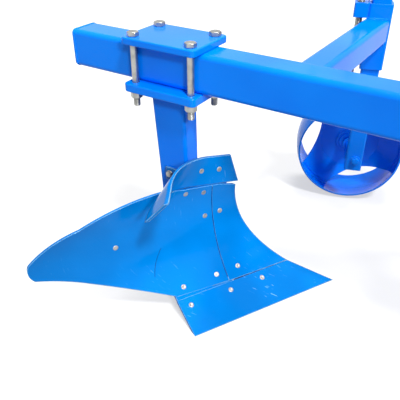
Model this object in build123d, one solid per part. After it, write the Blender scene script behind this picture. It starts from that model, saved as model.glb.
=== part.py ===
from build123d import *
from math import atan, cos, degrees, radians, sin, sqrt, tan
import os

# Two-furrow mounted moldboard plough, in millimetres.
# +X is the way it is pulled, +Y is the land side (left), +Z is up, and the floor is z = 0.
# The plough is drawn from the tip of its rear share, then moved to the middle of its own box.

# ---- Bodies and frame geometry ----
CUT_WIDTH = 350.0          # each body's furrow, and the sideways step between the bodies
BODY_PITCH = 1000.0        # fore and aft step between the bodies
SHARE_ANGLE = 42.0         # share edge to the way of travel, seen from above
BEAM_ANGLE = degrees(atan(CUT_WIDTH / BODY_PITCH))
FIT_GAP = 0.3              # between curved faces that only touch
SEAM_GAP = 0.8             # between the edges of two body plates

# ---- Main beam and the tubes of the frame ----
BEAM_WIDTH = 100.0
BEAM_HEIGHT = 110.0
BEAM_WALL = 8.0
BEAM_CORNER = 14.0
BEAM_UNDERSIDE = 648.0
BEAM_TAIL = 330.0          # beam behind the middle of the rear clamp
CAP_THICKNESS = 6.0
CROSS_TUBE_REAR = 860.0    # rear face of the cross tube, ahead of the rear share's tip
CROSS_TUBE_LENGTH = 640.0
BRACE_TUBE = 80.0
BRACE_WALL = 6.0
BRACE_BEHIND_CLAMP = 269.481   # from the start of the brace to the middle of the front clamp
BRACE_LEFT_MARGIN = 50.0   # from the cross tube's left end to the brace's middle line

# ---- Leg, clamp plates and bolts ----
CLAMP_X = -528.0           # middle of the clamp, from the tip of its share
CLAMP_Y = -10.0
CLAMP_LENGTH = 240.0
CLAMP_WIDTH = 176.0
CLAMP_LOWER_THICKNESS = 25.0
CLAMP_UPPER_THICKNESS = 20.0
CLAMP_CORNER = 14.0
CLAMP_EDGE = 4.0           # rounding of a clamp plate's outer edges
BOLT_DIAMETER = 20.0
BOLT_HOLE_CLEARANCE = 1.0  # on the radius
BOLT_SPACING = 188.0       # along the beam
BOLT_BEAM_CLEARANCE = 1.5  # between a bolt and the side of the beam
NUT_ACROSS_FLATS = 30.0
NUT_HEIGHT = 16.0
BOLT_HEAD_HEIGHT = 12.5
WASHER_DIAMETER = 37.0
WASHER_THICKNESS = 3.0
BOLT_TAIL = 31.0           # thread that stands out below the nut
LEG_THICKNESS = 68.0
LEG_WALL = 9.0
LEG_CORNER = 9.0
LEG_SIDE_SHIFT = -10.0     # towards the furrow, from the middle of the beam
LEG_BOTTOM = 118.0
LEG_HOLLOW_BOTTOM = 345.0
LEG_FLAT_TOP = 330.0       # below this the leg's land side is flat
LEG_TOP_REAR = -57.0       # along the beam, from the middle of the clamp
LEG_TOP_FRONT = 58.0
LEG_BOTTOM_REAR = -15.0
LEG_BOTTOM_FRONT = 72.0

# ---- Share ----
SHARE_SLOPE = 28.0
SHARE_WIDTH = 119.0
SHARE_EDGE = CUT_WIDTH / sin(radians(SHARE_ANGLE))
SHARE_THICKNESS = 10.0
SHARE_WING_RAKE = 5.0

# ---- Mouldboard surface ----
# Upright sections square to the share's edge, each an arc: distance along the edge from the
# tip, arc centre behind the edge, arc centre's height, and radius.
BOARD_SECTIONS = [
    (30.0, -93.0, 310.0, 322.0),
    (250.0, -93.0, 310.0, 322.0),
    (575.0, -76.0, 283.0, 298.0),
    (940.0, -49.0, 242.0, 266.0),
]
BOARD_THICKNESS = 8.0
BOARD_LOW = 20.0
BOARD_HIGH = 470.0
AHEAD_DEPTH = 400.0        # how far ahead of the share's edge a cutting block reaches
SHIN_WIDTH = 341.0         # the upright seam between shin and mouldboard, along the edge
SEAM_HEIGHT = 349.5        # the seam under the trash board, where the two plates' seam meets it
SEAM_SLOPE = 8.6           # its rise towards the wing, in degrees
SEAM_REAR = 440.0          # where the wing's own top edge takes over, hidden by the curl
SHIN_SHOULDER = 318.0      # ahead of this the shin's top edge falls away below the trash board
SHIN_FALL = 17.0           # and slopes down this much, in degrees
LAND_CLEARANCE = 1.0       # body plates end this far from the land side plane

WING_FOOT = (520.0, 2.333)      # along the edge, and above the foot of the plate
# The mouldboard's outline, by distance along the share's edge and height: from the wing's
# foot, each arc's middle and end round the wing and back to the seam.
WING_ARCS = [
    ((638.5, 103.0), (757.0, 152.0)),
    ((850.0, 190.0), (905.0, 208.0)),
    ((920.0, 240.0), (915.0, 262.0)),
    ((860.0, 303.0), (766.0, 336.0)),
]
WING_BACK_MIDDLE = (620.0, 378.0)
WING_CREST = (500.0, 381.0)

# ---- Frog and landside ----
LANDSIDE_INSET = 2.0
LANDSIDE_THICKNESS = 10.0
LANDSIDE_BOTTOM = 6.0
LANDSIDE_HEIGHT = 100.0
LANDSIDE_FRONT = -150.0
LANDSIDE_REAR = -700.0
LANDSIDE_NOSE = 100.0      # its front end is cut back this far over its height
HEEL_LENGTH = 120.0
HEEL_THICKNESS = 12.0
HEEL_HEIGHT = 90.0
HEEL_CORNER = 14.0
FROG_WALL = 14.0
FROG_SIDE_THICKNESS = 14.0
FROG_RIB_HEIGHTS = (90.0, 250.0)
FROG_RIB_THICKNESS = 12.0
FROG_FOOT_MARGIN = 16.0    # from the share's top edge to the saddle's foot
FROG_SADDLE_TOP = 285.0
# Saddle's outline above its foot, by distance along the share's edge and height.
FROG_SADDLE_FOOT = (190.0, 470.0)
FROG_SADDLE_HEAD = [(440.0, FROG_SADDLE_TOP), (250.0, FROG_SADDLE_TOP), (215.0, 200.0)]
# Side flange in side view: forward from the share's tip, and height.
FROG_SIDE_OUTLINE = [
    (-330.0, 30.0),
    (-575.0, 30.0),
    (-575.0, 120.0),
    (-500.0, 320.0),
    (-415.0, 320.0),
    (-372.0, 290.0),
    (-340.0, 200.0),
]
# Rib seen from above: forward from the share's tip, and left.
FROG_RIB_OUTLINE = [(-340.0, -20.0), (-560.0, -20.0), (-560.0, -60.0), (-480.0, -190.0), (-400.0, -190.0)]
STAY_DIAMETER = 26.0
STAY_WING_POINT = (667.0, 235.0)
STAY_PAD_RADIUS = 30.0
STAY_PAD_THICKNESS = 8.0
STAY_LEG_HEIGHT = 300.0
STAY_LEG_INSET = 20.0      # its start lies this far inside the leg, where it is welded

# ---- Trash board: a strip over the shin and mouldboard, its rear end curled forward ----
TRASH_FRONT = 245.5        # its lower front corner, along the share's edge
TRASH_LENGTH = 401.0       # along its foot, before it is bent
TRASH_WIDTH = 89.0
TRASH_SETBACK = 39.0       # its upper front corner is this far behind the lower one
TRASH_LEAN = 5.6           # top edge behind its foot, in degrees
TRASH_BEND_TILT = 34.4     # of the bend line to the strip's width, leaning forward as it rises
TRASH_BEND_START = 161.6   # along the foot, from the front corner to the bend line
TRASH_BEND_RADIUS = 146.0
TRASH_BEND = 73.2
STRAP_PLACE = 331.0        # middle of the strap behind it, along the share's edge
STRAP_WIDTH = 96.0
STRAP_LOW = 310.0
STRAP_HIGH = 418.0
STRAP_CORNER = 10.0
STRAP_THICKNESS = 8.0

# ---- Bracket from the leg to the trash board's back ----
BRACKET_THICKNESS = 6.0
BRACKET_LOW = 348.0
BRACKET_HEIGHT = 44.0
BRACKET_REAR = -8.0        # along the beam, from the middle of the clamp
BRACKET_TURN = 36.0        # where it leaves the leg's face, along the beam
BRACKET_FOOT = (180.0, 220.0)   # ends of its foot, along the trash board's strip
BRACKET_BEND_RADIUS = 9.0

# ---- Headstock ----
HITCH_Y = -250.0           # middle line of the hitch
LINK_X = 1030.0            # lower link pins
LINK_Z = 480.0
MAST_HEIGHT = 610.0        # from the lower link pins to the top link hole, category 2
LINK_SPREAD = 825.0        # between the middles of the lower link balls, category 2
LINK_BALL_WIDTH = 45.0
LINK_PIN_DIAMETER = 28.4
LINK_PIN_LENGTH = 72.0
LINK_PIN_CHAMFER = 3.0
LINCH_HOLE_DIAMETER = 11.0
LINCH_HOLE_INSET = 15.0    # from the pin's end to the hole for its linch pin
LINK_SHAFT_DIAMETER = 50.0
TOP_HOLE_DIAMETER = 25.7
TOP_HOLE_X = 985.0
MAST_GAP = 60.0
MAST_THICKNESS = 15.0
MAST_EYE_RADIUS = 38.0
DROP_BRACKET_THICKNESS = 20.0
DROP_BRACKET_SPREAD = 500.0
DROP_BRACKET_EYE = 48.0
DROP_BRACKET_RIM = 22.0    # of plate above, ahead of and below the cross tube
MAST_BRACE_WIDTH = 60.0
MAST_BRACE_DEPTH = 40.0
MAST_BRACE_WALL = 5.0
MAST_BRACE_TOP = 1030.0

# ---- Gauge wheel: a crowned rim on a dished, three-pointed web ----
WHEEL_X = 20.0
WHEEL_RADIUS = 211.0       # at the rim's crest
WHEEL_WIDTH = 178.0
WHEEL_SIDE_Y = 522.0       # the rim edge nearer the beam
RIM_THICKNESS = 6.0
RIM_CREST = 110.0          # from that edge to the widest place of the rim
RIM_CROWN = 400.0          # radius of the rim's outline, seen in section
WEB_INSET = 70.0           # from the rim's near edge to the web, where they are welded
WEB_DISH = 46.0            # the web's flat middle lies this much further in
WEB_FLAT_RADIUS = 114.0
WEB_THICKNESS = 6.0
WEB_WINDOWS = 3
WEB_WINDOW_RADIUS = 308.0
WEB_WAIST = 125.0          # from the wheel's middle to the nearest edge of a window
WEB_TURN = -50.0           # the first window's middle, from straight ahead
HUB_RADIUS = 40.0
HUB_FLANGE_RADIUS = 50.0
HUB_FLANGE_THICKNESS = 10.0
HUB_NEAR = 98.0            # from the rim's near edge to the hub's near end
HUB_LENGTH = 80.0
HUB_EDGE = 3.0
AXLE_DIAMETER = 32.0
AXLE_CLEARANCE = 0.08
AXLE_COLLAR_RADIUS = 25.0
AXLE_COLLAR_LENGTH = 16.0
AXLE_END_WASHER = 6.0
AXLE_END_NUT = 46.0        # across its flats
AXLE_END_STUD = 14.0       # axle beyond the hub's far end
HUB_SIDE_GAP = 1.0         # between the hub's ends and what stands beside them
STEM_SHIFT = 17.0          # the stem stands this far ahead of the axle
STEM_WIDTH = 62.0
STEM_DEPTH = 40.0
STEM_WALL = 6.0
STEM_CORNER = 8.0
STEM_BELOW_AXLE = 36.0
STEM_TOP = 905.0
STEM_WHEEL_GAP = 30.0      # between the stem and the plane of the rim's edge
SLEEVE_CLEARANCE = 1.0
SLEEVE_WALL = 6.0
SLEEVE_CORNER = 8.0
SLEEVE_BELOW_ARM = 89.0     # from the arm's underside to the sleeve's lower end
ARM_NUT_GAP = 1.0          # between the arm's top and the nut block
ARM_TUBE = 80.0
ARM_WALL = 6.0
SCREW_DIAMETER = 24.0
SCREW_OFFSET = 26.0        # from the sleeve's rear face to the screw
SCREW_BOTTOM = 530.0
SCREW_COLLAR_STEP = 7.0
SCREW_COLLAR_HEIGHT = 14.0
SCREW_NECK = 60.0          # from the stem's top to the crank
NUT_BLOCK = 46.0
NUT_BLOCK_CORNER = 5.0
STEM_CAP_THICKNESS = 12.0
CRANK_RADIUS = 130.0
CRANK_ROD = 16.0
CRANK_GRIP = 28.0
CRANK_GRIP_LENGTH = 110.0
CRANK_END_CORNER = 8.0
DEPTH_TRAVEL = 220.0

# ---- Directions and frames ----
SHARE_COS = cos(radians(SHARE_ANGLE))
SHARE_SIN = sin(radians(SHARE_ANGLE))
ALONG_EDGE = Vector(-SHARE_COS, -SHARE_SIN, 0)
BEHIND_EDGE = Vector(-SHARE_SIN, SHARE_COS, 0)
UP = Vector(0, 0, 1)
FRONT_BODY = Location((BODY_PITCH, -CUT_WIDTH, 0))
BEAM_COS = cos(radians(BEAM_ANGLE))
BEAM_SIN = sin(radians(BEAM_ANGLE))
BEAM_FRAME = Plane(origin=(CLAMP_X, CLAMP_Y, 0), x_dir=(BEAM_COS, -BEAM_SIN, 0)).location
BEAM_MIDDLE = BEAM_UNDERSIDE + BEAM_HEIGHT / 2
BEAM_TOP = BEAM_UNDERSIDE + BEAM_HEIGHT
FAR = 4000.0               # a cutting block's size, longer than the plough

nodes = {}


def rectangular_tube(width, height, wall, corner, length):
    """A hollow bar along +X from the origin, its section centred on the X axis."""
    outer = RectangleRounded(width, height, corner)
    inner = RectangleRounded(width - 2 * wall, height - 2 * wall, max(corner - wall, 1.0))
    return extrude(Plane.YZ * (outer - inner), length)


def solid_bar(width, height, corner, length):
    """The same bar filled, for cutting what butts against it."""
    return extrude(Plane.YZ * RectangleRounded(width, height, corner), length)


def bar_between(start, end, width, height, wall, corner):
    """A hollow bar from one point to another, its height kept as upright as it can be."""
    run = Vector(*end) - Vector(*start)
    side = Vector(0, 0, 1).cross(run).normalized()
    frame = Plane(origin=start, x_dir=run.normalized(), z_dir=run.cross(side).normalized())
    return frame.location * rectangular_tube(width, height, wall, corner, run.length)


def side_plate(outline, left_y, thickness):
    """A plate drawn in side view, x forward and z up, from its left face towards the furrow."""
    view = Plane(origin=(0, left_y, 0), x_dir=(1, 0, 0), z_dir=(0, -1, 0))
    return extrude(view * outline, thickness, dir=(0, -1, 0))


def upright_cylinder(radius, low, high, x=0.0, y=0.0):
    return Pos(x, y, (low + high) / 2) * Cylinder(radius, high - low)


# ---- Main beam, cross tube and diagonal brace ----
cross_length_left = HITCH_Y + CROSS_TUBE_LENGTH / 2
cross_right_end = (CROSS_TUBE_REAR + BEAM_WIDTH / 2, cross_length_left - CROSS_TUBE_LENGTH, BEAM_MIDDLE)
cross_frame = Location(cross_right_end, (0, 0, 90))
cross_tube = rectangular_tube(BEAM_WIDTH, BEAM_HEIGHT, BEAM_WALL, BEAM_CORNER, CROSS_TUBE_LENGTH)
cross_tube = cross_frame * cross_tube
ahead_of_cross = Pos(CROSS_TUBE_REAR + FAR / 2, 0, 0) * Box(FAR, FAR, FAR)

beam_run = BEAM_TAIL + (CROSS_TUBE_REAR + BEAM_WIDTH - CLAMP_X) / BEAM_COS
beam_start = BEAM_FRAME * Location((-BEAM_TAIL, 0, BEAM_MIDDLE))
main_beam = beam_start * rectangular_tube(BEAM_WIDTH, BEAM_HEIGHT, BEAM_WALL, BEAM_CORNER, beam_run)
main_beam = main_beam - ahead_of_cross
beam_block = beam_start * solid_bar(BEAM_WIDTH, BEAM_HEIGHT, BEAM_CORNER, beam_run)

cap_section = Plane.YZ * RectangleRounded(BEAM_WIDTH, BEAM_HEIGHT, BEAM_CORNER)
cap = extrude(cap_section, CAP_THICKNESS)
beam_rear_cap = beam_start * Pos(-CAP_THICKNESS, 0, 0) * cap
cross_caps = [cross_frame * Pos(place, 0, 0) * cap for place in (-CAP_THICKNESS, CROSS_TUBE_LENGTH)]

brace_start_s = BODY_PITCH / BEAM_COS - BRACE_BEHIND_CLAMP
brace_start = (BEAM_FRAME * Location((brace_start_s, 0, BEAM_MIDDLE))).position
brace_end = Vector(CROSS_TUBE_REAR + BEAM_WIDTH / 2, cross_length_left - BRACE_LEFT_MARGIN, BEAM_MIDDLE)
frame_brace = bar_between(brace_start, brace_end, BRACE_TUBE, BRACE_TUBE, BRACE_WALL, BEAM_CORNER)
frame_brace = frame_brace - beam_block - ahead_of_cross

nodes["main_beam"] = main_beam
nodes["beam_rear_cap"] = beam_rear_cap
nodes["cross_tube"] = cross_tube
nodes["cross_tube_caps"] = cross_caps
nodes["frame_brace"] = frame_brace

# ---- Headstock: mast, its brace, drop brackets and lower link shaft ----
top_hole_z = LINK_Z + MAST_HEIGHT
mast_foot_middle = CROSS_TUBE_REAR + BEAM_WIDTH / 2


def mast_plate(middle_y):
    """A plate that stands on the cross tube and narrows to the eye of the top link."""
    foot = Pos(mast_foot_middle, BEAM_TOP + BEAM_CORNER) * Rectangle(BEAM_WIDTH, 2 * BEAM_CORNER)
    eye = Pos(TOP_HOLE_X, top_hole_z) * Circle(MAST_EYE_RADIUS)
    outline = make_hull((foot + eye).edges()) - Pos(TOP_HOLE_X, top_hole_z) * Circle(TOP_HOLE_DIAMETER / 2)
    return side_plate(outline, middle_y + MAST_THICKNESS / 2, MAST_THICKNESS)


mast_offset = (MAST_GAP + MAST_THICKNESS) / 2
nodes["mast_plates"] = [mast_plate(HITCH_Y + side * mast_offset) for side in (-1, 1)]

mast_brace_foot_s = (CLAMP_Y - HITCH_Y) / BEAM_SIN
mast_brace_foot = (BEAM_FRAME * Location((mast_brace_foot_s, 0, BEAM_TOP))).position
mast_brace_head = Vector(TOP_HOLE_X - MAST_EYE_RADIUS, HITCH_Y, MAST_BRACE_TOP)
mast_brace_section = (MAST_BRACE_WIDTH, MAST_BRACE_DEPTH, MAST_BRACE_WALL, 2 * MAST_BRACE_WALL)
mast_brace = bar_between(mast_brace_foot, mast_brace_head, *mast_brace_section)
nodes["mast_brace"] = mast_brace - Pos(0, 0, BEAM_TOP - FAR / 2) * Box(FAR, FAR, FAR)


def drop_bracket(middle_y):
    """A plate that hangs from the cross tube's front and carries the lower link shaft."""
    foot = Pos(CROSS_TUBE_REAR + (BEAM_WIDTH + DROP_BRACKET_RIM) / 2, BEAM_MIDDLE) * Rectangle(
        BEAM_WIDTH + DROP_BRACKET_RIM, BEAM_HEIGHT + 2 * DROP_BRACKET_RIM
    )
    eye = Pos(LINK_X, LINK_Z) * Circle(DROP_BRACKET_EYE)
    hole = Pos(LINK_X, LINK_Z) * Circle(LINK_SHAFT_DIAMETER / 2 + FIT_GAP)
    tube_slot = Pos(CROSS_TUBE_REAR + BEAM_WIDTH / 2, BEAM_MIDDLE) * RectangleRounded(
        BEAM_WIDTH, BEAM_HEIGHT, BEAM_CORNER
    )
    outline = make_hull((foot + eye).edges()) - hole - tube_slot
    return side_plate(outline, middle_y + DROP_BRACKET_THICKNESS / 2, DROP_BRACKET_THICKNESS)


nodes["drop_bracket_left"] = drop_bracket(HITCH_Y + DROP_BRACKET_SPREAD / 2)
nodes["drop_bracket_right"] = drop_bracket(HITCH_Y - DROP_BRACKET_SPREAD / 2)

shoulder = (LINK_SPREAD - LINK_BALL_WIDTH) / 2
link_shaft_axis = Location((LINK_X, HITCH_Y, LINK_Z), (90, 0, 0))
link_shaft = Cylinder(LINK_SHAFT_DIAMETER / 2, 2 * shoulder)
link_pins = Cylinder(LINK_PIN_DIAMETER / 2, 2 * (shoulder + LINK_PIN_LENGTH))
link_shaft += chamfer(link_pins.edges().filter_by(GeomType.CIRCLE), LINK_PIN_CHAMFER)
linch_place = shoulder + LINK_PIN_LENGTH - LINCH_HOLE_INSET
linch_hole = Rot(90, 0, 0) * Cylinder(LINCH_HOLE_DIAMETER / 2, LINK_SHAFT_DIAMETER)
for side in (-1, 1):
    link_shaft -= Pos(0, 0, side * linch_place) * linch_hole
nodes["lower_link_shaft"] = link_shaft_axis * link_shaft

# ---- Clamp: plates above and below the beam, and its four bolts ----
bolt_side = (BEAM_WIDTH + BOLT_DIAMETER) / 2 + BOLT_BEAM_CLEARANCE
bolt_places = [(end * BOLT_SPACING / 2, side * bolt_side) for end in (-1, 1) for side in (-1, 1)]
clamp_underside = BEAM_UNDERSIDE - CLAMP_LOWER_THICKNESS


def clamp_plate(low, thickness):
    """A plate across the beam, its outer edges rounded over, with a hole for each clamp bolt."""
    plate = extrude(RectangleRounded(CLAMP_LENGTH, CLAMP_WIDTH, CLAMP_CORNER), thickness)
    rims = plate.faces().sort_by(Axis.Z)[0].edges() + plate.faces().sort_by(Axis.Z)[-1].edges()
    plate = fillet(rims, min(CLAMP_EDGE, thickness / 3))
    hole_radius = BOLT_DIAMETER / 2 + BOLT_HOLE_CLEARANCE
    for along, across in bolt_places:
        plate -= upright_cylinder(hole_radius, -thickness, 2 * thickness, along, across)
    return Pos(0, 0, low) * plate


def clamp_bolt(along, across):
    """A hexagon bolt from above, with a washer and nut under the lower plate."""
    head_low = BEAM_TOP + CLAMP_UPPER_THICKNESS
    nut_top = clamp_underside - WASHER_THICKNESS
    nut_low = nut_top - NUT_HEIGHT
    across_corners = NUT_ACROSS_FLATS / sqrt(3)
    shank = upright_cylinder(BOLT_DIAMETER / 2, nut_low - BOLT_TAIL, head_low)
    head = Pos(0, 0, head_low) * extrude(RegularPolygon(across_corners, 6), BOLT_HEAD_HEIGHT)
    washer = upright_cylinder(WASHER_DIAMETER / 2, nut_top, clamp_underside)
    nut = Pos(0, 0, nut_low) * extrude(RegularPolygon(across_corners, 6), NUT_HEIGHT)
    return Pos(along, across, 0) * (shank + head + washer + nut)


# ---- Leg: a tapered box with rounded corners, flat against the frog at its foot ----
frog_side_right = -LANDSIDE_INSET - LANDSIDE_THICKNESS - FROG_SIDE_THICKNESS


def leg_section(height, inset):
    """A rounded rectangle across the leg at one height, in the beam's frame."""
    rise = (height - LEG_BOTTOM) / (clamp_underside - LEG_BOTTOM)
    rear = LEG_BOTTOM_REAR + (LEG_TOP_REAR - LEG_BOTTOM_REAR) * rise + inset
    front = LEG_BOTTOM_FRONT + (LEG_TOP_FRONT - LEG_BOTTOM_FRONT) * rise - inset
    outline = RectangleRounded(front - rear, LEG_THICKNESS - 2 * inset, LEG_CORNER - inset / 2)
    return Pos((rear + front) / 2, LEG_SIDE_SHIFT, height) * outline


def leg_block(low, high, inset):
    return BEAM_FRAME * loft([leg_section(low, inset), leg_section(high, inset)])


leg = leg_block(LEG_BOTTOM, clamp_underside, 0.0) - leg_block(LEG_HOLLOW_BOTTOM, clamp_underside, LEG_WALL)
land_cut = Pos(0, frog_side_right + FAR / 2, LEG_FLAT_TOP - FAR / 2) * Box(FAR, FAR, FAR)
leg = leg - land_cut


# ---- Mouldboard sheet ----
def section_points(row, offset):
    """Foot, middle and head of a section's arc, at a distance behind the working face."""
    centre_behind, centre_height, radius = row[1:]

    def point(height):
        return (centre_behind + sqrt((radius + offset) ** 2 - (height - centre_height) ** 2), height)

    return point(BOARD_LOW), point(centre_height), point(BOARD_HIGH)


def section_face(row, edges):
    """A closed outline in the upright plane that stands square to the share's edge."""
    plane = Plane(origin=ALONG_EDGE * row[0], x_dir=BEHIND_EDGE, z_dir=ALONG_EDGE * -1)
    return plane * make_face(Curve() + edges)


def board_sheet(near, far):
    """The curved sheet between two distances behind the working face."""
    faces = []
    for row in BOARD_SECTIONS:
        near_foot, near_middle, near_head = section_points(row, near)
        far_foot, far_middle, far_head = section_points(row, far)
        edges = [
            ThreePointArc(near_foot, near_middle, near_head),
            Line(near_head, far_head),
            ThreePointArc(far_head, far_middle, far_foot),
            Line(far_foot, near_foot),
        ]
        faces.append(section_face(row, edges))
    return loft(faces)


def ahead_of_sheet(offset):
    """Everything ahead of a surface that lies a distance behind the working face."""
    faces = []
    for row in BOARD_SECTIONS:
        foot, middle, head = section_points(row, offset)
        front_foot = (-AHEAD_DEPTH, foot[1])
        front_head = (-AHEAD_DEPTH, head[1])
        edges = [
            ThreePointArc(foot, middle, head),
            Line(head, front_head),
            Line(front_head, front_foot),
            Line(front_foot, foot),
        ]
        faces.append(section_face(row, edges))
    return loft(faces)


EDGE_VIEW = Plane(origin=BEHIND_EDGE * -FAR, x_dir=ALONG_EDGE, z_dir=BEHIND_EDGE)


def prism(outline):
    """Everything behind an outline drawn along the share's edge and up."""
    return extrude(EDGE_VIEW * outline, 2 * FAR)


share_top_height = SHARE_WIDTH * sin(radians(SHARE_SLOPE))
board_foot = share_top_height + SEAM_GAP
land_plane_cut = Pos(0, FAR / 2 - LAND_CLEARANCE, 0) * Box(FAR, FAR, FAR)


def seam_at(along):
    """Height of the seam under the trash board, at a distance along the share's edge."""
    return SEAM_HEIGHT + (along - SHIN_WIDTH) * tan(radians(SEAM_SLOPE))


shin_outline = Polygon(
    (0, board_foot),
    (SHIN_WIDTH - SEAM_GAP / 2, board_foot),
    (SHIN_WIDTH - SEAM_GAP / 2, seam_at(SHIN_WIDTH - SEAM_GAP / 2)),
    (SHIN_SHOULDER, seam_at(SHIN_SHOULDER)),
    (0, seam_at(SHIN_SHOULDER) - SHIN_SHOULDER * tan(radians(SHIN_FALL))),
    align=None,
)

seam_left = SHIN_WIDTH + SEAM_GAP / 2
wing_foot = (WING_FOOT[0], board_foot + WING_FOOT[1])
wing_line = [Line((seam_left, board_foot), wing_foot)]
arc_start = wing_foot
for arc_middle, arc_end in WING_ARCS + [(WING_BACK_MIDDLE, WING_CREST)]:
    wing_line.append(ThreePointArc(arc_start, arc_middle, arc_end))
    arc_start = arc_end
wing_line.append(Line(WING_CREST, (SEAM_REAR, seam_at(SEAM_REAR))))
wing_line.append(Line((SEAM_REAR, seam_at(SEAM_REAR)), (seam_left, seam_at(seam_left))))
wing_line.append(Line((seam_left, seam_at(seam_left)), (seam_left, board_foot)))
wing_outline = make_face(Curve() + wing_line)

sheet = board_sheet(0.0, BOARD_THICKNESS)
shin = sheet & prism(shin_outline)
shin = shin - land_plane_cut
whole_mouldboard = sheet & prism(wing_outline)

# ---- Share: a flat plate on a slope, ground flat underneath along its edge ----
share_up = BEHIND_EDGE * cos(radians(SHARE_SLOPE)) + UP * sin(radians(SHARE_SLOPE))
share_plane = Plane(origin=(0, 0, 0), x_dir=ALONG_EDGE, z_dir=ALONG_EDGE.cross(share_up))
share_land_run = SHARE_WIDTH * cos(radians(SHARE_SLOPE)) / tan(radians(SHARE_ANGLE))
share_outline = Polygon(
    (0, 0),
    (SHARE_EDGE, 0),
    (SHARE_EDGE + SHARE_WING_RAKE, SHARE_WIDTH),
    (share_land_run, SHARE_WIDTH),
    align=None,
)
floor_block = Pos(0, 0, -FAR / 2) * Box(FAR, FAR, FAR)
share = extrude(share_plane * share_outline, SHARE_THICKNESS) - floor_block
share = share - Pos(0, FAR / 2, 0) * Box(FAR, FAR, FAR)

# ---- Frog: a saddle behind the plates, a flange for the landside, and ribs between ----
frog_foot = [(along, share_top_height + FROG_FOOT_MARGIN) for along in FROG_SADDLE_FOOT]
frog_outline = Polygon(*frog_foot, *FROG_SADDLE_HEAD, align=None)
saddle_near = BOARD_THICKNESS + FIT_GAP
saddle = board_sheet(saddle_near, saddle_near + FROG_WALL) & prism(frog_outline)
frog_left_cut = Pos(0, FAR / 2 - LANDSIDE_INSET - LANDSIDE_THICKNESS, 0) * Box(FAR, FAR, FAR)
frog_side_left = -LANDSIDE_INSET - LANDSIDE_THICKNESS
frog_side = side_plate(Polygon(*FROG_SIDE_OUTLINE, align=None), frog_side_left, FROG_SIDE_THICKNESS)
front_block = ahead_of_sheet(saddle_near)
inside_saddle = ahead_of_sheet(saddle_near + FROG_WALL / 2)
frog = saddle - frog_left_cut
frog = frog + (frog_side - inside_saddle)
for height in FROG_RIB_HEIGHTS:
    rib = extrude(Polygon(*FROG_RIB_OUTLINE, align=None), FROG_RIB_THICKNESS)
    frog = frog + (Pos(0, 0, height) * rib - inside_saddle - leg)

# ---- Landside and heel ----
landside_outline = Polygon(
    (LANDSIDE_FRONT, LANDSIDE_BOTTOM),
    (LANDSIDE_REAR, LANDSIDE_BOTTOM),
    (LANDSIDE_REAR, LANDSIDE_BOTTOM + LANDSIDE_HEIGHT),
    (LANDSIDE_FRONT - LANDSIDE_NOSE, LANDSIDE_BOTTOM + LANDSIDE_HEIGHT),
    align=None,
)
landside = side_plate(landside_outline, -LANDSIDE_INSET, LANDSIDE_THICKNESS)
share_half_plane = share_plane * Pos(0, -FAR / 2) * Rectangle(FAR, FAR + 2 * SHARE_WIDTH)
share_block = extrude(share_half_plane, -FAR / 4) + extrude(share_half_plane, SHARE_THICKNESS + FIT_GAP)
landside = landside - share_block - front_block
landside = max(landside.solids(), key=lambda piece: piece.volume)
heel_outline = Pos(LANDSIDE_REAR + HEEL_LENGTH / 2, HEEL_HEIGHT / 2) * RectangleRounded(
    HEEL_LENGTH, HEEL_HEIGHT, HEEL_CORNER
)
heel = side_plate(heel_outline, frog_side_left, HEEL_THICKNESS)

# ---- Stay behind the wing ----
def board_face(along, height, offset):
    """A point on the sheet, by its distance along the edge and its height."""
    rows = BOARD_SECTIONS
    for low, high in zip(rows[:-1], rows[1:]):
        if low[0] <= along <= high[0]:
            break
    share_of = (along - low[0]) / (high[0] - low[0])
    centre_behind, centre_height, radius = [a + (b - a) * share_of for a, b in zip(low[1:], high[1:])]
    behind = centre_behind + sqrt((radius + offset) ** 2 - (height - centre_height) ** 2)
    return ALONG_EDGE * along + BEHIND_EDGE * behind + UP * height


stay_end = board_face(*STAY_WING_POINT, BOARD_THICKNESS)
stay_start = Vector(CLAMP_X + STAY_LEG_INSET, frog_side_right - STAY_LEG_INSET, STAY_LEG_HEIGHT)
stay_run = stay_end - stay_start
stay_plane = Plane(origin=stay_start, z_dir=stay_run.normalized())
stay_pad_near = BOARD_THICKNESS + FIT_GAP
stay_pad_cut = ahead_of_sheet(stay_pad_near + STAY_PAD_THICKNESS / 2)
stay_pad = board_sheet(stay_pad_near, stay_pad_near + STAY_PAD_THICKNESS)
stay_pad = stay_pad & prism(Pos(*STAY_WING_POINT) * Circle(STAY_PAD_RADIUS))
stay_rod = extrude(stay_plane * Circle(STAY_DIAMETER / 2), stay_run.length + STAY_DIAMETER)
stay_rod = stay_rod - leg - stay_pad_cut
wing_stay = max(stay_rod.solids(), key=lambda piece: piece.volume) + stay_pad

# ---- Trash board: a strip bent about a tilted line ----
board_crest = BOARD_SECTIONS[0][1] + BOARD_SECTIONS[0][3]
bend_tilt = radians(TRASH_BEND_TILT)
trash_run = ALONG_EDGE * cos(radians(SEAM_SLOPE)) + UP * sin(radians(SEAM_SLOPE))
trash_upright = UP * cos(radians(SEAM_SLOPE)) - ALONG_EDGE * sin(radians(SEAM_SLOPE))
trash_rise = trash_upright * cos(radians(TRASH_LEAN)) + BEHIND_EDGE * sin(radians(TRASH_LEAN))
trash_corner = (
    ALONG_EDGE * TRASH_FRONT + BEHIND_EDGE * board_crest + UP * (seam_at(TRASH_FRONT) + SEAM_GAP)
)
bend_axis = trash_rise * cos(bend_tilt) - trash_run * sin(bend_tilt)
bend_run = trash_run * cos(bend_tilt) + trash_rise * sin(bend_tilt)
bend_ahead = bend_axis.cross(bend_run)
bend_origin = trash_corner + trash_run * TRASH_BEND_START
BEND_FRAME = Plane(origin=bend_origin, x_dir=bend_run, z_dir=bend_axis)


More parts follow.
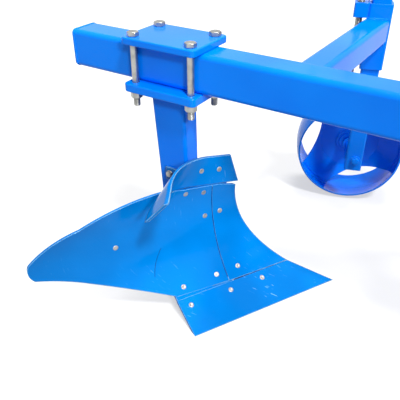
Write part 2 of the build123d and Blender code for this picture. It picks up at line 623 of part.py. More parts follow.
def bent_point(run, rise):
    """Where a point of the flat strip, along its foot and up its width, lies once bent."""
    past_start = run - TRASH_BEND_START
    along_axis = rise * cos(bend_tilt) - past_start * sin(bend_tilt)
    past_bend = past_start * cos(bend_tilt) + rise * sin(bend_tilt)
    turn = min(max(past_bend / TRASH_BEND_RADIUS, 0.0), radians(TRASH_BEND))
    straight = past_bend - TRASH_BEND_RADIUS * turn
    forward = TRASH_BEND_RADIUS * sin(turn) + straight * cos(turn)
    curled = TRASH_BEND_RADIUS * (1 - cos(turn)) + straight * sin(turn)
    return bend_origin + bend_axis * along_axis + bend_run * forward + bend_ahead * curled


def edge_place(run, rise):
    """The same point seen square to the share's edge: distance along the edge and height."""
    point = bent_point(run, rise)
    return (point.dot(ALONG_EDGE), point.Z)


def bent_strip(near, far):
    """The endless bent sheet between two distances behind its working face."""
    middle = (near + far) / 2
    straight = Line((-TRASH_LENGTH, 0), (0, 0))
    curl = JernArc((0, 0), (1, 0), TRASH_BEND_RADIUS + middle, TRASH_BEND)
    tongue = Line(curl @ 1, curl @ 1 + (curl % 1) * TRASH_LENGTH)
    strip = trace(straight + curl + tongue, line_width=far - near)
    return extrude(BEND_FRAME * Pos(0, -middle) * strip, TRASH_LENGTH, both=True)


def edge_arcs(rise, runs):
    """Two arcs along the bent edge at one rise, through five places along the strip."""
    places = [edge_place(run, rise) for run in runs]
    return [ThreePointArc(*places[0:3]), ThreePointArc(*places[2:5])]


trash_past_end = TRASH_LENGTH + TRASH_WIDTH / 4
foot_bend = TRASH_BEND_START
head_bend = TRASH_BEND_START - TRASH_WIDTH * tan(bend_tilt)
foot_runs = [foot_bend + (trash_past_end - foot_bend) * part / 4 for part in range(5)]
head_runs = [trash_past_end + (head_bend - trash_past_end) * part / 4 for part in range(5)]
foot_front = edge_place(0, 0)
head_front = edge_place(TRASH_SETBACK, TRASH_WIDTH)
trash_line = [Line(foot_front, edge_place(foot_bend, 0))]
trash_line += edge_arcs(0, foot_runs)
trash_line += [Line(edge_place(trash_past_end, 0), edge_place(trash_past_end, TRASH_WIDTH))]
trash_line += edge_arcs(TRASH_WIDTH, head_runs)
trash_line += [Line(edge_place(head_bend, TRASH_WIDTH), head_front), Line(head_front, foot_front)]
trash_outline = make_face(Curve() + trash_line)
end_point = bent_point(TRASH_LENGTH, 0)
end_run = (bent_point(trash_past_end, 0) - end_point).normalized()
end_plane = Plane(origin=end_point, z_dir=end_run)
past_end = extrude(end_plane * Rectangle(TRASH_LENGTH, TRASH_LENGTH), TRASH_LENGTH)
trash_board = (bent_strip(0.0, BOARD_THICKNESS) & prism(trash_outline)) - past_end
trash_clearance = bent_strip(-SEAM_GAP, BOARD_THICKNESS + SEAM_GAP) & prism(offset(trash_outline, SEAM_GAP))
mouldboard = whole_mouldboard - trash_clearance
mouldboard = max(mouldboard.solids(), key=lambda piece: piece.volume)

# ---- Strap behind the plates and the trash board, which leans back with it ----
strap_front = board_crest + BOARD_THICKNESS + FIT_GAP
strap_lead = STRAP_THICKNESS   # drawn this far ahead of its seat, then cut back to the plates
strap_bend = seam_at(STRAP_PLACE)
strap_shift = (STRAP_HIGH - strap_bend) * tan(radians(TRASH_LEAN))
strap_profile = Polygon(
    (strap_front - strap_lead, STRAP_LOW),
    (strap_front + STRAP_THICKNESS, STRAP_LOW),
    (strap_front + STRAP_THICKNESS, strap_bend),
    (strap_front + STRAP_THICKNESS + strap_shift, STRAP_HIGH),
    (strap_front - strap_lead + strap_shift, STRAP_HIGH),
    (strap_front - strap_lead, strap_bend),
    align=None,
)
strap_side = Plane(
    origin=ALONG_EDGE * (STRAP_PLACE + STRAP_WIDTH / 2), x_dir=BEHIND_EDGE, z_dir=ALONG_EDGE * -1
)
strap_outline = Pos(STRAP_PLACE, (STRAP_LOW + STRAP_HIGH) / 2) * RectangleRounded(
    STRAP_WIDTH, STRAP_HIGH - STRAP_LOW, STRAP_CORNER
)
trash_front_block = bent_strip(-2 * STRAP_THICKNESS, BOARD_THICKNESS + FIT_GAP)
trash_strap = extrude(strap_side * strap_profile, STRAP_WIDTH) & prism(strap_outline)
trash_strap = trash_strap - ahead_of_sheet(BOARD_THICKNESS + FIT_GAP) - trash_front_block

# ---- Bracket: a bent flat bar from the leg's face to the trash board's back ----
leg_right = LEG_SIDE_SHIFT - LEG_THICKNESS / 2
bracket_line = leg_right - FIT_GAP - BRACKET_THICKNESS / 2


def trash_back(run):
    """A point behind the trash board's back, by its place along the strip, a third of its width up."""
    point = bent_point(run, TRASH_WIDTH / 3) + BEHIND_EDGE * (BOARD_THICKNESS + BRACKET_THICKNESS / 3)
    return (point.X, point.Y)


bracket_path = []
for place in (BRACKET_REAR, BRACKET_TURN):
    corner = (BEAM_FRAME * Location((place, bracket_line, 0))).position
    bracket_path.append((corner.X, corner.Y))
bracket_path += [trash_back(run) for run in BRACKET_FOOT]
bracket_centre = FilletPolyline(*bracket_path, radius=BRACKET_BEND_RADIUS)
bracket_strip = trace(bracket_centre, line_width=BRACKET_THICKNESS)
bracket = Pos(0, 0, BRACKET_LOW) * extrude(bracket_strip, BRACKET_HEIGHT) - trash_front_block
bracket = bracket - ahead_of_sheet(BOARD_THICKNESS + FIT_GAP)
bracket = max(bracket.solids(), key=lambda piece: piece.volume)

# ---- Each body: the same pieces twice, a furrow apart ----
body_pieces = {
    "leg": leg,
    "clamp_plate": BEAM_FRAME * clamp_plate(clamp_underside, CLAMP_LOWER_THICKNESS),
    "clamp_top_plate": BEAM_FRAME * clamp_plate(BEAM_TOP, CLAMP_UPPER_THICKNESS),
    "clamp_bolts": [BEAM_FRAME * clamp_bolt(*place) for place in bolt_places],
    "frog": frog,
    "landside": landside,
    "heel": heel,
    "share": share,
    "shin": shin,
    "mouldboard": mouldboard,
    "wing_stay": wing_stay,
    "trash_board": trash_board,
    "trash_strap": trash_strap,
    "trash_bracket": bracket,
}
for prefix, place in (("rear", Location((0, 0, 0))), ("front", FRONT_BODY)):
    for name, shape in body_pieces.items():
        pieces = shape if isinstance(shape, list) else [shape]
        nodes[f"{prefix}_{name}"] = [place * piece for piece in pieces]

# ---- Gauge wheel: rim, web and hub turned about the axle ----
axle_z = WHEEL_RADIUS
# Its z runs along the axle, from the rim's near edge.
WHEEL_AXIS = Location((WHEEL_X, WHEEL_SIDE_Y, axle_z), (-90, 0, 0))


def rim_radius(place, inset):
    """Radius of the rim's crowned outline at a distance in from its near edge."""
    return WHEEL_RADIUS - RIM_CROWN + sqrt((RIM_CROWN - inset) ** 2 - (place - RIM_CREST) ** 2)


def turned(outline):
    """An outline in (radius, distance along the axle) turned about the axle."""
    return revolve(Plane.XZ * outline, Axis.Z)


def ring(outer_radius, inner_radius, near, far):
    middle = Pos((outer_radius + inner_radius) / 2, (near + far) / 2)
    return turned(middle * Rectangle(outer_radius - inner_radius, far - near))


rim_places = (0.0, RIM_CREST, WHEEL_WIDTH)
rim_outside = [(rim_radius(place, 0.0), place) for place in rim_places]
rim_inside = [(rim_radius(place, RIM_THICKNESS), place) for place in rim_places]
rim_edges = [
    ThreePointArc(*rim_outside),
    Line(rim_outside[2], rim_inside[2]),
    ThreePointArc(*rim_inside),
    Line(rim_inside[0], rim_outside[0]),
]
rim = turned(make_face(Curve() + rim_edges))

axle_hole = AXLE_DIAMETER / 2 + AXLE_CLEARANCE
web_flat = WEB_INSET + WEB_DISH
web_rim_radius = rim_radius(WEB_INSET, RIM_THICKNESS / 2)
web_profile = Polygon(
    (HUB_RADIUS, web_flat),
    (WEB_FLAT_RADIUS, web_flat),
    (web_rim_radius, WEB_INSET),
    (web_rim_radius, WEB_INSET + WEB_THICKNESS),
    (WEB_FLAT_RADIUS, web_flat + WEB_THICKNESS),
    (HUB_RADIUS, web_flat + WEB_THICKNESS),
    align=None,
)
web = turned(web_profile)
for index in range(WEB_WINDOWS):
    window = Pos(WEB_WAIST + WEB_WINDOW_RADIUS, 0) * Circle(WEB_WINDOW_RADIUS)
    window = window & Circle(rim_radius(WEB_INSET, RIM_THICKNESS))
    web = web - Rot(0, 0, WEB_TURN + 360 / WEB_WINDOWS * index) * extrude(window, WHEEL_WIDTH)

hub_far = HUB_NEAR + HUB_LENGTH
hub = ring(HUB_RADIUS, axle_hole, HUB_NEAR, hub_far)
hub = hub + ring(HUB_FLANGE_RADIUS, HUB_RADIUS - HUB_EDGE, web_flat - HUB_FLANGE_THICKNESS, web_flat)
hub_rims = hub.edges().filter_by(GeomType.CIRCLE).filter_by(lambda edge: edge.radius == HUB_RADIUS)
hub_rims = hub_rims.sort_by(Axis.Z)
hub_rims = [hub_rims[0], hub_rims[-1]]
nodes["wheel_rim"] = WHEEL_AXIS * (rim + web)
nodes["wheel_hub"] = WHEEL_AXIS * fillet(hub_rims, HUB_EDGE)

# ---- Stem, and the stub axle welded to it, which carries the hub ----
stem_x = WHEEL_X + STEM_SHIFT
stem_left_y = WHEEL_SIDE_Y - STEM_WHEEL_GAP
stem_middle_y = stem_left_y - STEM_DEPTH / 2
stem_bottom = axle_z - STEM_BELOW_AXLE
stem_frame = Location((stem_x, stem_middle_y, stem_bottom), (0, -90, 0))
stem = rectangular_tube(STEM_DEPTH, STEM_WIDTH, STEM_WALL, STEM_CORNER, STEM_TOP - stem_bottom)
nodes["wheel_stem"] = stem_frame * stem
axle_parts = ring(AXLE_DIAMETER / 2, 0, -STEM_WHEEL_GAP, hub_far + AXLE_END_STUD + AXLE_END_WASHER)
collar_far = HUB_NEAR - HUB_SIDE_GAP
axle_parts += ring(AXLE_COLLAR_RADIUS, 0, collar_far - AXLE_COLLAR_LENGTH, collar_far)
axle_parts += ring(AXLE_COLLAR_RADIUS, 0, hub_far + HUB_SIDE_GAP, hub_far + HUB_SIDE_GAP + AXLE_END_WASHER)
nut_low = hub_far + HUB_SIDE_GAP + AXLE_END_WASHER
axle_parts += Pos(0, 0, nut_low) * extrude(RegularPolygon(AXLE_END_NUT / sqrt(3), 6), AXLE_END_STUD)
nodes["stub_axle"] = WHEEL_AXIS * axle_parts

# ---- Sleeve round the stem, its arm, and the depth screw ----
sleeve_bottom = BEAM_MIDDLE - ARM_TUBE / 2 - SLEEVE_BELOW_ARM
sleeve_top = BEAM_MIDDLE + ARM_TUBE / 2 + ARM_NUT_GAP + NUT_BLOCK
sleeve_inner_depth = STEM_DEPTH + 2 * SLEEVE_CLEARANCE
sleeve_inner_width = STEM_WIDTH + 2 * SLEEVE_CLEARANCE
sleeve_depth = sleeve_inner_depth + 2 * SLEEVE_WALL
sleeve_width = sleeve_inner_width + 2 * SLEEVE_WALL
sleeve_frame = Location((stem_x, stem_middle_y, sleeve_bottom), (0, -90, 0))
sleeve_height = sleeve_top - sleeve_bottom
sleeve = rectangular_tube(sleeve_depth, sleeve_width, SLEEVE_WALL, SLEEVE_CORNER, sleeve_height)
sleeve_block = sleeve_frame * solid_bar(sleeve_depth, sleeve_width, SLEEVE_CORNER, sleeve_height)
nodes["stem_sleeve"] = sleeve_frame * sleeve

arm_direction = Vector(BEAM_SIN, BEAM_COS, 0)
sleeve_middle = Vector(stem_x, stem_middle_y, BEAM_MIDDLE)
arm_reach = (sleeve_middle - Vector(CLAMP_X, CLAMP_Y, BEAM_MIDDLE)).dot(arm_direction)
arm_start = sleeve_middle - arm_direction * arm_reach
arm = bar_between(arm_start, sleeve_middle, ARM_TUBE, ARM_TUBE, ARM_WALL, BEAM_CORNER)
nodes["wheel_arm"] = arm - beam_block - sleeve_block

screw_x = stem_x - sleeve_width / 2 - SCREW_OFFSET
SCREW_AXIS = Pos(screw_x, stem_middle_y, 0)
nut_outline = RectangleRounded(NUT_BLOCK, NUT_BLOCK, NUT_BLOCK_CORNER)
nut_place = Pos(SCREW_OFFSET - NUT_BLOCK / 2 - FIT_GAP, 0, sleeve_top - NUT_BLOCK)
nut_block = nut_place * extrude(nut_outline, NUT_BLOCK)
nut_bore = upright_cylinder(SCREW_DIAMETER / 2 + SLEEVE_CLEARANCE, sleeve_bottom, STEM_TOP)
nut_block = nut_block - nut_bore
nodes["screw_nut"] = SCREW_AXIS * nut_block

cap_top = STEM_TOP + STEM_CAP_THICKNESS
cap_rear = -NUT_BLOCK / 2
cap_front = stem_x + STEM_WIDTH / 2 - screw_x
cap_outline = Pos((cap_rear + cap_front) / 2, 0) * RectangleRounded(
    cap_front - cap_rear, NUT_BLOCK, CRANK_END_CORNER
)
cap_outline -= Circle(SCREW_DIAMETER / 2 + FIT_GAP)
nodes["stem_cap"] = SCREW_AXIS * Pos(0, 0, STEM_TOP) * extrude(cap_outline, STEM_CAP_THICKNESS)

screw_top = STEM_TOP + SCREW_NECK
screw = upright_cylinder(SCREW_DIAMETER / 2, SCREW_BOTTOM, screw_top)
for low in (STEM_TOP - SCREW_COLLAR_HEIGHT - FIT_GAP, cap_top + FIT_GAP):
    screw += upright_cylinder(SCREW_DIAMETER / 2 + SCREW_COLLAR_STEP, low, low + SCREW_COLLAR_HEIGHT)
nodes["depth_screw"] = SCREW_AXIS * screw

crank_arm = Pos(-CRANK_RADIUS / 2, 0, screw_top) * extrude(
    SlotCenterToCenter(CRANK_RADIUS, SCREW_DIAMETER + CRANK_END_CORNER), CRANK_ROD
)
grip_low = screw_top + CRANK_ROD
crank_grip = upright_cylinder(CRANK_GRIP / 2, grip_low, grip_low + CRANK_GRIP_LENGTH, -CRANK_RADIUS)
nodes["depth_crank"] = SCREW_AXIS * (crank_arm + crank_grip)

# ---- Move the plough to the middle of its own box, and write each node ----
flat = {name: shape if isinstance(shape, list) else [shape] for name, shape in nodes.items()}
whole = Compound([solid for shapes in flat.values() for shape in shapes for solid in shape.solids()])
box = whole.bounding_box()
middle_x = (box.min.X + box.max.X) / 2
middle_y = (box.min.Y + box.max.Y) / 2
origin_shift = Pos(-middle_x, -middle_y, -box.min.Z)
print("rear share tip at", [round(value, 3) for value in (-middle_x, -middle_y, -box.min.Z)])
print("box", box.size)

os.makedirs("parts", exist_ok=True)
for name, shapes in flat.items():
    solids = [origin_shift * solid for shape in shapes for solid in shape.solids()]
    export_step(Compound(solids) if len(solids) > 1 else solids[0], f"parts/{name}.step")
    print(name, len(solids))
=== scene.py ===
from math import atan, cos, pi, radians, sin, sqrt

import bmesh
import bpy
import numpy as np
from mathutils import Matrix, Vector
from mathutils.bvhtree import BVHTree


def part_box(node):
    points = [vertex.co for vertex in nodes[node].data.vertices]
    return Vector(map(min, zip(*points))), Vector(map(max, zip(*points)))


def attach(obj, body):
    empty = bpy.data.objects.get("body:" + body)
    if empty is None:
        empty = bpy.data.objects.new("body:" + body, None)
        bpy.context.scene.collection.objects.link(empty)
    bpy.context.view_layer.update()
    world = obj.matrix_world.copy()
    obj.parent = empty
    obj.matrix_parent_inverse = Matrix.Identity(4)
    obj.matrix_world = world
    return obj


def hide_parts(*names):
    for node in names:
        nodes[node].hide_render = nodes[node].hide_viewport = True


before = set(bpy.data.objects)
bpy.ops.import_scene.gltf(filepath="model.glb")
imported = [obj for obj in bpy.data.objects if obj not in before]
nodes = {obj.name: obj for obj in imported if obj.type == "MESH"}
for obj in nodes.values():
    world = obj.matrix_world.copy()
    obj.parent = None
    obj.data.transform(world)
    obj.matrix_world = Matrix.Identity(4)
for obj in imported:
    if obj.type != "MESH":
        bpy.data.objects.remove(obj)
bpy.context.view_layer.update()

# ---- Camera ----
# Stands beside the rear body, on its furrow side, and looks down across the beam to the wheel.
# Its place is measured from the tip of the rear share, as all of the plough's sizes are.
_, share_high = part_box("rear_share")
share_tip = np.array((share_high.x, share_high.y, 0.0))
CAMERA_FROM_TIP = Vector((-0.1232, -1.416, 1.190))
LOOK_DOWN, LOOK_LEFT = radians(33.0), radians(13.4)
LENS, SENSOR_WIDTH, LENS_SHIFT, FARTHEST = 47.9, 36.0, 0.0025, 60.0
camera_data = bpy.data.cameras.new("camera")
camera_data.lens = LENS
camera_data.sensor_width = SENSOR_WIDTH
camera_data.shift_x = camera_data.shift_y = LENS_SHIFT
camera_data.clip_end = FARTHEST
camera = bpy.data.objects.new("camera", camera_data)
camera.location = Vector(share_tip) + CAMERA_FROM_TIP
camera.rotation_euler = (radians(90.0) - LOOK_DOWN, 0.0, LOOK_LEFT)
bpy.context.scene.collection.objects.link(camera)
bpy.context.scene.camera = camera
bpy.context.scene.view_settings.view_transform = "Standard"


# ---- Enamel on the frame ----
# Beam, headstock, legs, clamps and wheel are mild steel, sprayed with one thick coat of glossy
# azure enamel after welding. It levels almost flat and chips on the edges first. The edges are
# mixed towards a paler blue, a painted highlight.
class Value:
    """A number or colour that varies over a surface: one socket, whose arithmetic adds nodes."""

    def __init__(self, tree, socket):
        self.tree, self.socket = tree, socket

    def node(self, kind, settings, inputs, output=0):
        """Adds any node: its settings first, then its inputs by name or number."""
        added = self.tree.nodes.new(kind)
        for setting, choice in settings.items():
            setattr(added, setting, choice)
        for key, given in inputs.items():
            if isinstance(given, Value):
                self.tree.links.new(given.socket, added.inputs[key])
            else:
                added.inputs[key].default_value = given
        return Value(self.tree, added.outputs[output])

    def math(self, operation, first, second=0.0):
        return self.node("ShaderNodeMath", {"operation": operation}, {0: first, 1: second})

    def __add__(self, other):
        return self.math("ADD", self, other)

    __radd__ = __add__

    def __sub__(self, other):
        return self.math("SUBTRACT", self, other)

    def __rsub__(self, other):
        return self.math("SUBTRACT", other, self)

    def __mul__(self, other):
        return self.math("MULTIPLY", self, other)

    __rmul__ = __mul__

    def ramp(self, low, high):
        """0 below one value, 1 above another, and smooth between."""
        settings = {"interpolation_type": "SMOOTHSTEP"}
        return self.node("ShaderNodeMapRange", settings, {0: self, 1: low, 2: high})

    def colour(self, from_colour, to_colour):
        """Mixes two colours by this number."""
        inputs = {0: self, 6: from_colour, 7: to_colour}
        return self.node("ShaderNodeMix", {"data_type": "RGBA"}, inputs, output=2)

    def noise(self, scale, detail=2.0, stretch=(1.0, 1.0, 1.0), turn=0.0):
        """Noise on the object's own coordinates, multiplied by stretch and then turned about Z."""
        place = self.node("ShaderNodeTexCoord", {}, {}, output=3)
        inputs = {0: place, "Rotation": (0.0, 0.0, turn), "Scale": stretch}
        mapped = self.node("ShaderNodeMapping", {"vector_type": "POINT"}, inputs)
        inputs = {"Vector": mapped, "Scale": scale, "Detail": detail}
        return self.node("ShaderNodeTexNoise", {}, inputs)

    def edge(self, width):
        """1 - (normal rounded over a width . true normal), which is 0 on a flat and rises towards
        edges; and the rounded normal itself."""
        round_normal = self.node("ShaderNodeBevel", {"samples": 6}, {"Radius": width})
        true_normal = self.node("ShaderNodeNewGeometry", {}, {}, output=1)
        settings, inputs = {"operation": "DOT_PRODUCT"}, {0: round_normal, 1: true_normal}
        agreement = self.node("ShaderNodeVectorMath", settings, inputs, output=1)
        return 1.0 - agreement, round_normal


def new_material(name):
    """A material with its shader, and a Value from which its nodes are made."""
    material = bpy.data.materials.new(name)
    material.use_nodes = True
    shader = material.node_tree.nodes["Principled BSDF"]
    return material, shader, Value(material.node_tree, None)


def wire(shader, name, value):
    """Joins a varying value to one of the shader's sockets."""
    value.tree.links.new(value.socket, shader.inputs[name])


def relief(shader, height, round_normal):
    """Bends the surface's normal by a height in metres, over its rounded edges."""
    inputs = {"Strength": 1.0, "Distance": 1.0, "Height": height, "Normal": round_normal}
    wire(shader, "Normal", height.node("ShaderNodeBump", {}, inputs))


ENAMEL_DEEP = (0.0, 0.20, 0.93, 1.0)
ENAMEL_LIGHT = (0.0, 0.235, 1.0, 1.0)
# The pale edge colour is a painted highlight, where rounded edges would catch the light.
ENAMEL_EDGE_HIGHLIGHT = (0.06, 0.52, 1.0, 1.0)
STEEL_UNDER = (0.16, 0.17, 0.19, 1.0)
ENAMEL_GLOSS, ENAMEL_ROUGHNESS, GLOSS_CHANGE = 0.09, 0.13, 0.10
# Scales of the noises, in waves a metre. The scratches' noise is squeezed across the way that the
# plough travels, which draws them out along it, and is then turned.
DEPTH_SCALE, GLOSS_SCALE, CHIP_SCALE = 3.5, 18.0, 130.0
SCRATCH_SCALE, SCRATCH_PATCHES = 26.0, 7.0
SCRATCH_STRETCH, SCRATCH_TURN = (1.0, 14.0, 1.0), radians(42.0)
FINE_PEEL_SCALE, COARSE_PEEL_SCALE = 260.0, 38.0
FINE_PEEL, COARSE_PEEL, CHIP_DEPTH = 0.00006, 0.00035, 0.00012


def enamel(name, deep, light, highlight_and_scratch, roughness, scratches, edge_width=0.0025):
    """Deep and light mixed by slow noise; the pale colour over 3 edge, ramped, as a painted
    highlight;
    steel where 2.2 edge + noise passes 1.32; the pale colour again in scratches, where stretched
    noise passes 0.665, in slow patches. Height = fine peel x noise + coarse peel x noise - chip
    depth x chips."""
    material, shader, start = new_material(name)
    edge, round_normal = start.edge(edge_width)
    coat = start.noise(DEPTH_SCALE).ramp(0.35, 0.65).colour(deep, light)
    # Painted highlight: edges are mixed towards the pale colour.
    edge_highlight = (edge * 3.0).ramp(0.15, 0.9)
    coat = (edge_highlight * 0.9).colour(coat, highlight_and_scratch)
    chips = (edge * 2.2 + start.noise(CHIP_SCALE, 4.0)).ramp(1.32, 1.38)
    fine = start.noise(SCRATCH_SCALE, 3.0, SCRATCH_STRETCH, SCRATCH_TURN).ramp(0.665, 0.70)
    fine = fine * start.noise(SCRATCH_PATCHES).ramp(0.45, 0.62) * scratches
    coat = (fine * 0.35).colour(coat, highlight_and_scratch)
    wire(shader, "Base Color", chips.colour(coat, STEEL_UNDER))
    gloss = start.noise(GLOSS_SCALE) * GLOSS_CHANGE + (roughness - GLOSS_CHANGE / 2)
    wire(shader, "Roughness", gloss + chips * 0.35 + fine * 0.20)
    wire(shader, "Metallic", chips * 0.8)
    peel = start.noise(FINE_PEEL_SCALE, 1.0) * FINE_PEEL
    peel = peel + start.noise(COARSE_PEEL_SCALE, 2.0) * COARSE_PEEL
    relief(shader, peel - chips * CHIP_DEPTH, round_normal)
    shader.inputs["Specular IOR Level"].default_value = ENAMEL_GLOSS
    return material


frame_colours = (ENAMEL_DEEP, ENAMEL_LIGHT, ENAMEL_EDGE_HIGHLIGHT)
frame_enamel = enamel("frame_enamel", *frame_colours, ENAMEL_ROUGHNESS, 0.0)


def finish_node(name, material):
    """Gives a node its finish in place of the plain one that it comes with."""
    slots = nodes[name].data.materials
    slots.clear()
    slots.append(material)


for name in nodes:
    finish_node(name, frame_enamel)

# ---- Enamel on the bodies ----
# Share, shin, mouldboard and trash board are pressed from plate and have a coat of a deeper blue,
# its edges mixed towards a pale colour, a painted highlight. Handling leaves fine scratches, most
# of them on the share.
BODY_DEEP = (0.0, 0.150, 0.49, 1.0)
BODY_LIGHT = (0.0, 0.205, 0.64, 1.0)
BODY_HIGHLIGHT_AND_SCRATCH = (0.30, 0.72, 1.0, 1.0)
# Trash board and bracket get a paler, wider painted highlight on their edges.
TRASH_HIGHLIGHT_AND_SCRATCH = (0.42, 0.80, 1.0, 1.0)
# Each: pale colour of the painted edge highlight and of the scratches, roughness, strength of the
# scratches, width of the edges that are painted pale and chip.
body_enamel = enamel("body_enamel", BODY_DEEP, BODY_LIGHT, BODY_HIGHLIGHT_AND_SCRATCH, 0.13, 0.35, 0.004)
share_enamel = enamel("share_enamel", BODY_DEEP, BODY_LIGHT, BODY_HIGHLIGHT_AND_SCRATCH, 0.16, 1.8, 0.003)
trash_enamel = enamel("trash_enamel", BODY_DEEP, BODY_LIGHT, TRASH_HIGHLIGHT_AND_SCRATCH, 0.13, 0.35, 0.0065)
# The front body is the rear one again, a step ahead and one furrow's width to the right.
BODY_STEP, FURROW_WIDTH = 1.0, 0.35
BODIES = {"rear": np.zeros(3), "front": np.array((BODY_STEP, -FURROW_WIDTH, 0.0))}
for prefix in BODIES:
    finish_node(f"{prefix}_share", share_enamel)
    for part in ("shin", "mouldboard"):
        finish_node(f"{prefix}_{part}", body_enamel)
    for part in ("trash_board", "trash_bracket"):
        finish_node(f"{prefix}_{part}", trash_enamel)

# ---- Clamp bolts ----
# Four M20 hexagon bolts of zinc-plated steel hold each leg's plates against the beam, with a
# washer and nut underneath. Rolled threads show below the nuts; the shanks above are plain.
ZINC_LIGHT, ZINC_DARK = (0.48, 0.48, 0.45, 1.0), (0.32, 0.32, 0.30, 1.0)
ZINC_ROUGHNESS, ZINC_METALLIC, ZINC_EDGE = 0.32, 0.9, 0.0012
CLOUD_SCALE, GRAIN_SCALE, GRAIN_HEIGHT = 45.0, 420.0, 0.00006


def plated(name, light, dark, roughness):
    """Zinc: dark and light mixed by 0.8 ramped cloud + 1.5 edge; roughness rises with the cloud;
    height = grain height x noise."""
    material, shader, start = new_material(name)
    edge, round_normal = start.edge(ZINC_EDGE)
    cloud = start.noise(CLOUD_SCALE, 2.0)
    wire(shader, "Base Color", (cloud.ramp(0.3, 0.7) * 0.8 + edge * 1.5).colour(dark, light))
    wire(shader, "Roughness", cloud * 0.25 + (roughness - 0.12))
    relief(shader, start.noise(GRAIN_SCALE, 2.0) * GRAIN_HEIGHT, round_normal)
    shader.inputs["Metallic"].default_value = ZINC_METALLIC
    return material


zinc = plated("zinc", ZINC_LIGHT, ZINC_DARK, ZINC_ROUGHNESS)


def side_axes(axis):
    """The axis at length 1, then up x axis (or, for an upright axis, ahead x axis), and the
    direction square to both."""
    axis = np.asarray(axis, float) / np.linalg.norm(axis)
    other = np.array((0.0, 0.0, 1.0)) if abs(axis[2]) < 0.9 else np.array((1.0, 0.0, 0.0))
    first = np.cross(other, axis)
    first = first / np.linalg.norm(first)
    return axis, first, np.cross(axis, first)


def grid_faces(rows, columns):
    """Four-sided faces between rings of points numbered ring by ring."""
    row, column = np.meshgrid(np.arange(rows - 1), np.arange(columns), indexing="ij")
    after = (column + 1) % columns
    near, far = row * columns, (row + 1) * columns
    corners = (near + column, near + after, far + after, far + column)
    return np.stack(corners, axis=-1).reshape(-1, 4)


def turned(profile, origin, axis, sides=48, flats=0.0, pitch=0.0, depth=0.0, first=None):
    """A profile of (radius, distance along the axis) turned about an axis: point = origin +
    axis x distance + radius (side cos turn + third sin turn).
    A hexagon cuts each radius to half the flats / cos(turn from the nearest flat's middle); a
    thread lowers it by depth (1 + cos(2 pi distance / pitch - turn)) / 2 on rows marked 1."""
    axis, side, third = side_axes(axis)
    if first is not None:
        side = np.asarray(first, float)
        third = np.cross(axis, side)
    profile = np.array([(*row, 0.0)[:3] for row in profile], float)
    turn = np.linspace(0.0, 2 * pi, sides, endpoint=False)
    radius = np.repeat(profile[:, :1], sides, axis=1)
    if flats:
        radius = np.minimum(radius, flats / 2 / np.cos((turn + pi / 6) % (pi / 3) - pi / 6))
    if pitch:
        wave = (1 + np.cos(2 * pi * profile[:, 1:2] / pitch - turn)) / 2
        radius = radius - profile[:, 2:3] * depth * wave
    outward = np.cos(turn)[:, None] * side + np.sin(turn)[:, None] * third
    points = np.asarray(origin) + axis * profile[:, 1, None, None]
    points = points + radius[..., None] * outward
    return points.reshape(-1, 3), grid_faces(len(profile), sides)


SHARP_ANGLE = radians(35.0)


def piece(name, shells, body, material):
    """One object from several closed shells, its poles merged and its faces turned outwards."""
    points = np.concatenate([shell[0] for shell in shells])
    starts = np.cumsum([0] + [len(shell[0]) for shell in shells[:-1]])
    faces = np.concatenate([shell[1] + start for shell, start in zip(shells, starts)])
    mesh = bpy.data.meshes.new(name)
    mesh.from_pydata(points.tolist(), [], faces.tolist())
    shape = bmesh.new()
    shape.from_mesh(mesh)
    bmesh.ops.remove_doubles(shape, verts=shape.verts, dist=1e-7)
    bmesh.ops.recalc_face_normals(shape, faces=shape.faces)
    shape.to_mesh(mesh)
    shape.free()
    mesh.polygons.foreach_set("use_smooth", np.ones(len(mesh.polygons), bool))
    mesh.set_sharp_from_angle(angle=SHARP_ANGLE)
    mesh.materials.append(material)
    made = bpy.data.objects.new(name, mesh)
    bpy.context.scene.collection.objects.link(made)
    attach(made, body)
    return made


BEAM_ANGLE = atan(FURROW_WIDTH / BODY_STEP)
BEAM_ALONG = np.array((cos(BEAM_ANGLE), -sin(BEAM_ANGLE), 0.0))
BEAM_LEFT = np.array((sin(BEAM_ANGLE), cos(BEAM_ANGLE), 0.0))
CLAMP_MIDDLE = share_tip + np.array((-0.528, -0.010, 0.0))
UP = np.array((0.0, 0.0, 1.0))
BEAM_UNDERSIDE, BEAM_TOP = 0.648, 0.758
BEAM_HALF_WIDTH = 0.050
LOWER_PLATE, UPPER_PLATE = 0.025, 0.020
BOLT_RADIUS, BOLT_TAIL = 0.010, 0.025
BOLT_STEP, BOLT_SIDE = 0.094, 0.0615
NUT_FLATS, NUT_HEIGHT = 0.030, 0.018
WASHER_RADIUS, WASHER_HEIGHT = 0.0178, 0.003
THREAD_PITCH, THREAD_DEPTH = 0.0025, 0.0013
HEAD_HEIGHT = 0.0125


def hexagon_block(low, high, flats):
    """Profile of a nut or head: its radius grows in a straight line from 0.475 of the flats at a
    face to the corners' radius, over 0.55 of that growth in height, and back at the other face."""
    flat_round, corner_round = flats * 0.475, flats / sqrt(3)
    slope = np.linspace(0.0, 1.0, 5)
    rise = (corner_round - flat_round) * 0.55
    lower = [(flat_round + (corner_round - flat_round) * part, low + rise * part) for part in slope]
    upper = [(radius, low + high - height) for radius, height in reversed(lower)]
    return [(0.0, low)] + lower + upper + [(0.0, high)]


def disc(low, high, radius, edge):
    """Profile of a round disc whose two rims are broken by an edge."""
    lower = [(0.0, low), (radius - edge, low), (radius, low + edge)]
    return lower + [(radius, high - edge), (radius - edge, high), (0.0, high)]


def washer(low, high, radius):
    """Profile of a round washer, its rims broken by a fifth of its height."""
    return disc(low, high, radius, (high - low) * 0.2)


def threaded_rows(low, high, radius, pitch):
    """Eight rows to each turn of a thread between two heights, marked 1 to be cut."""
    count = int((high - low) / pitch * 8)
    return [(radius, height, 1.0) for height in np.linspace(low, high, count)]


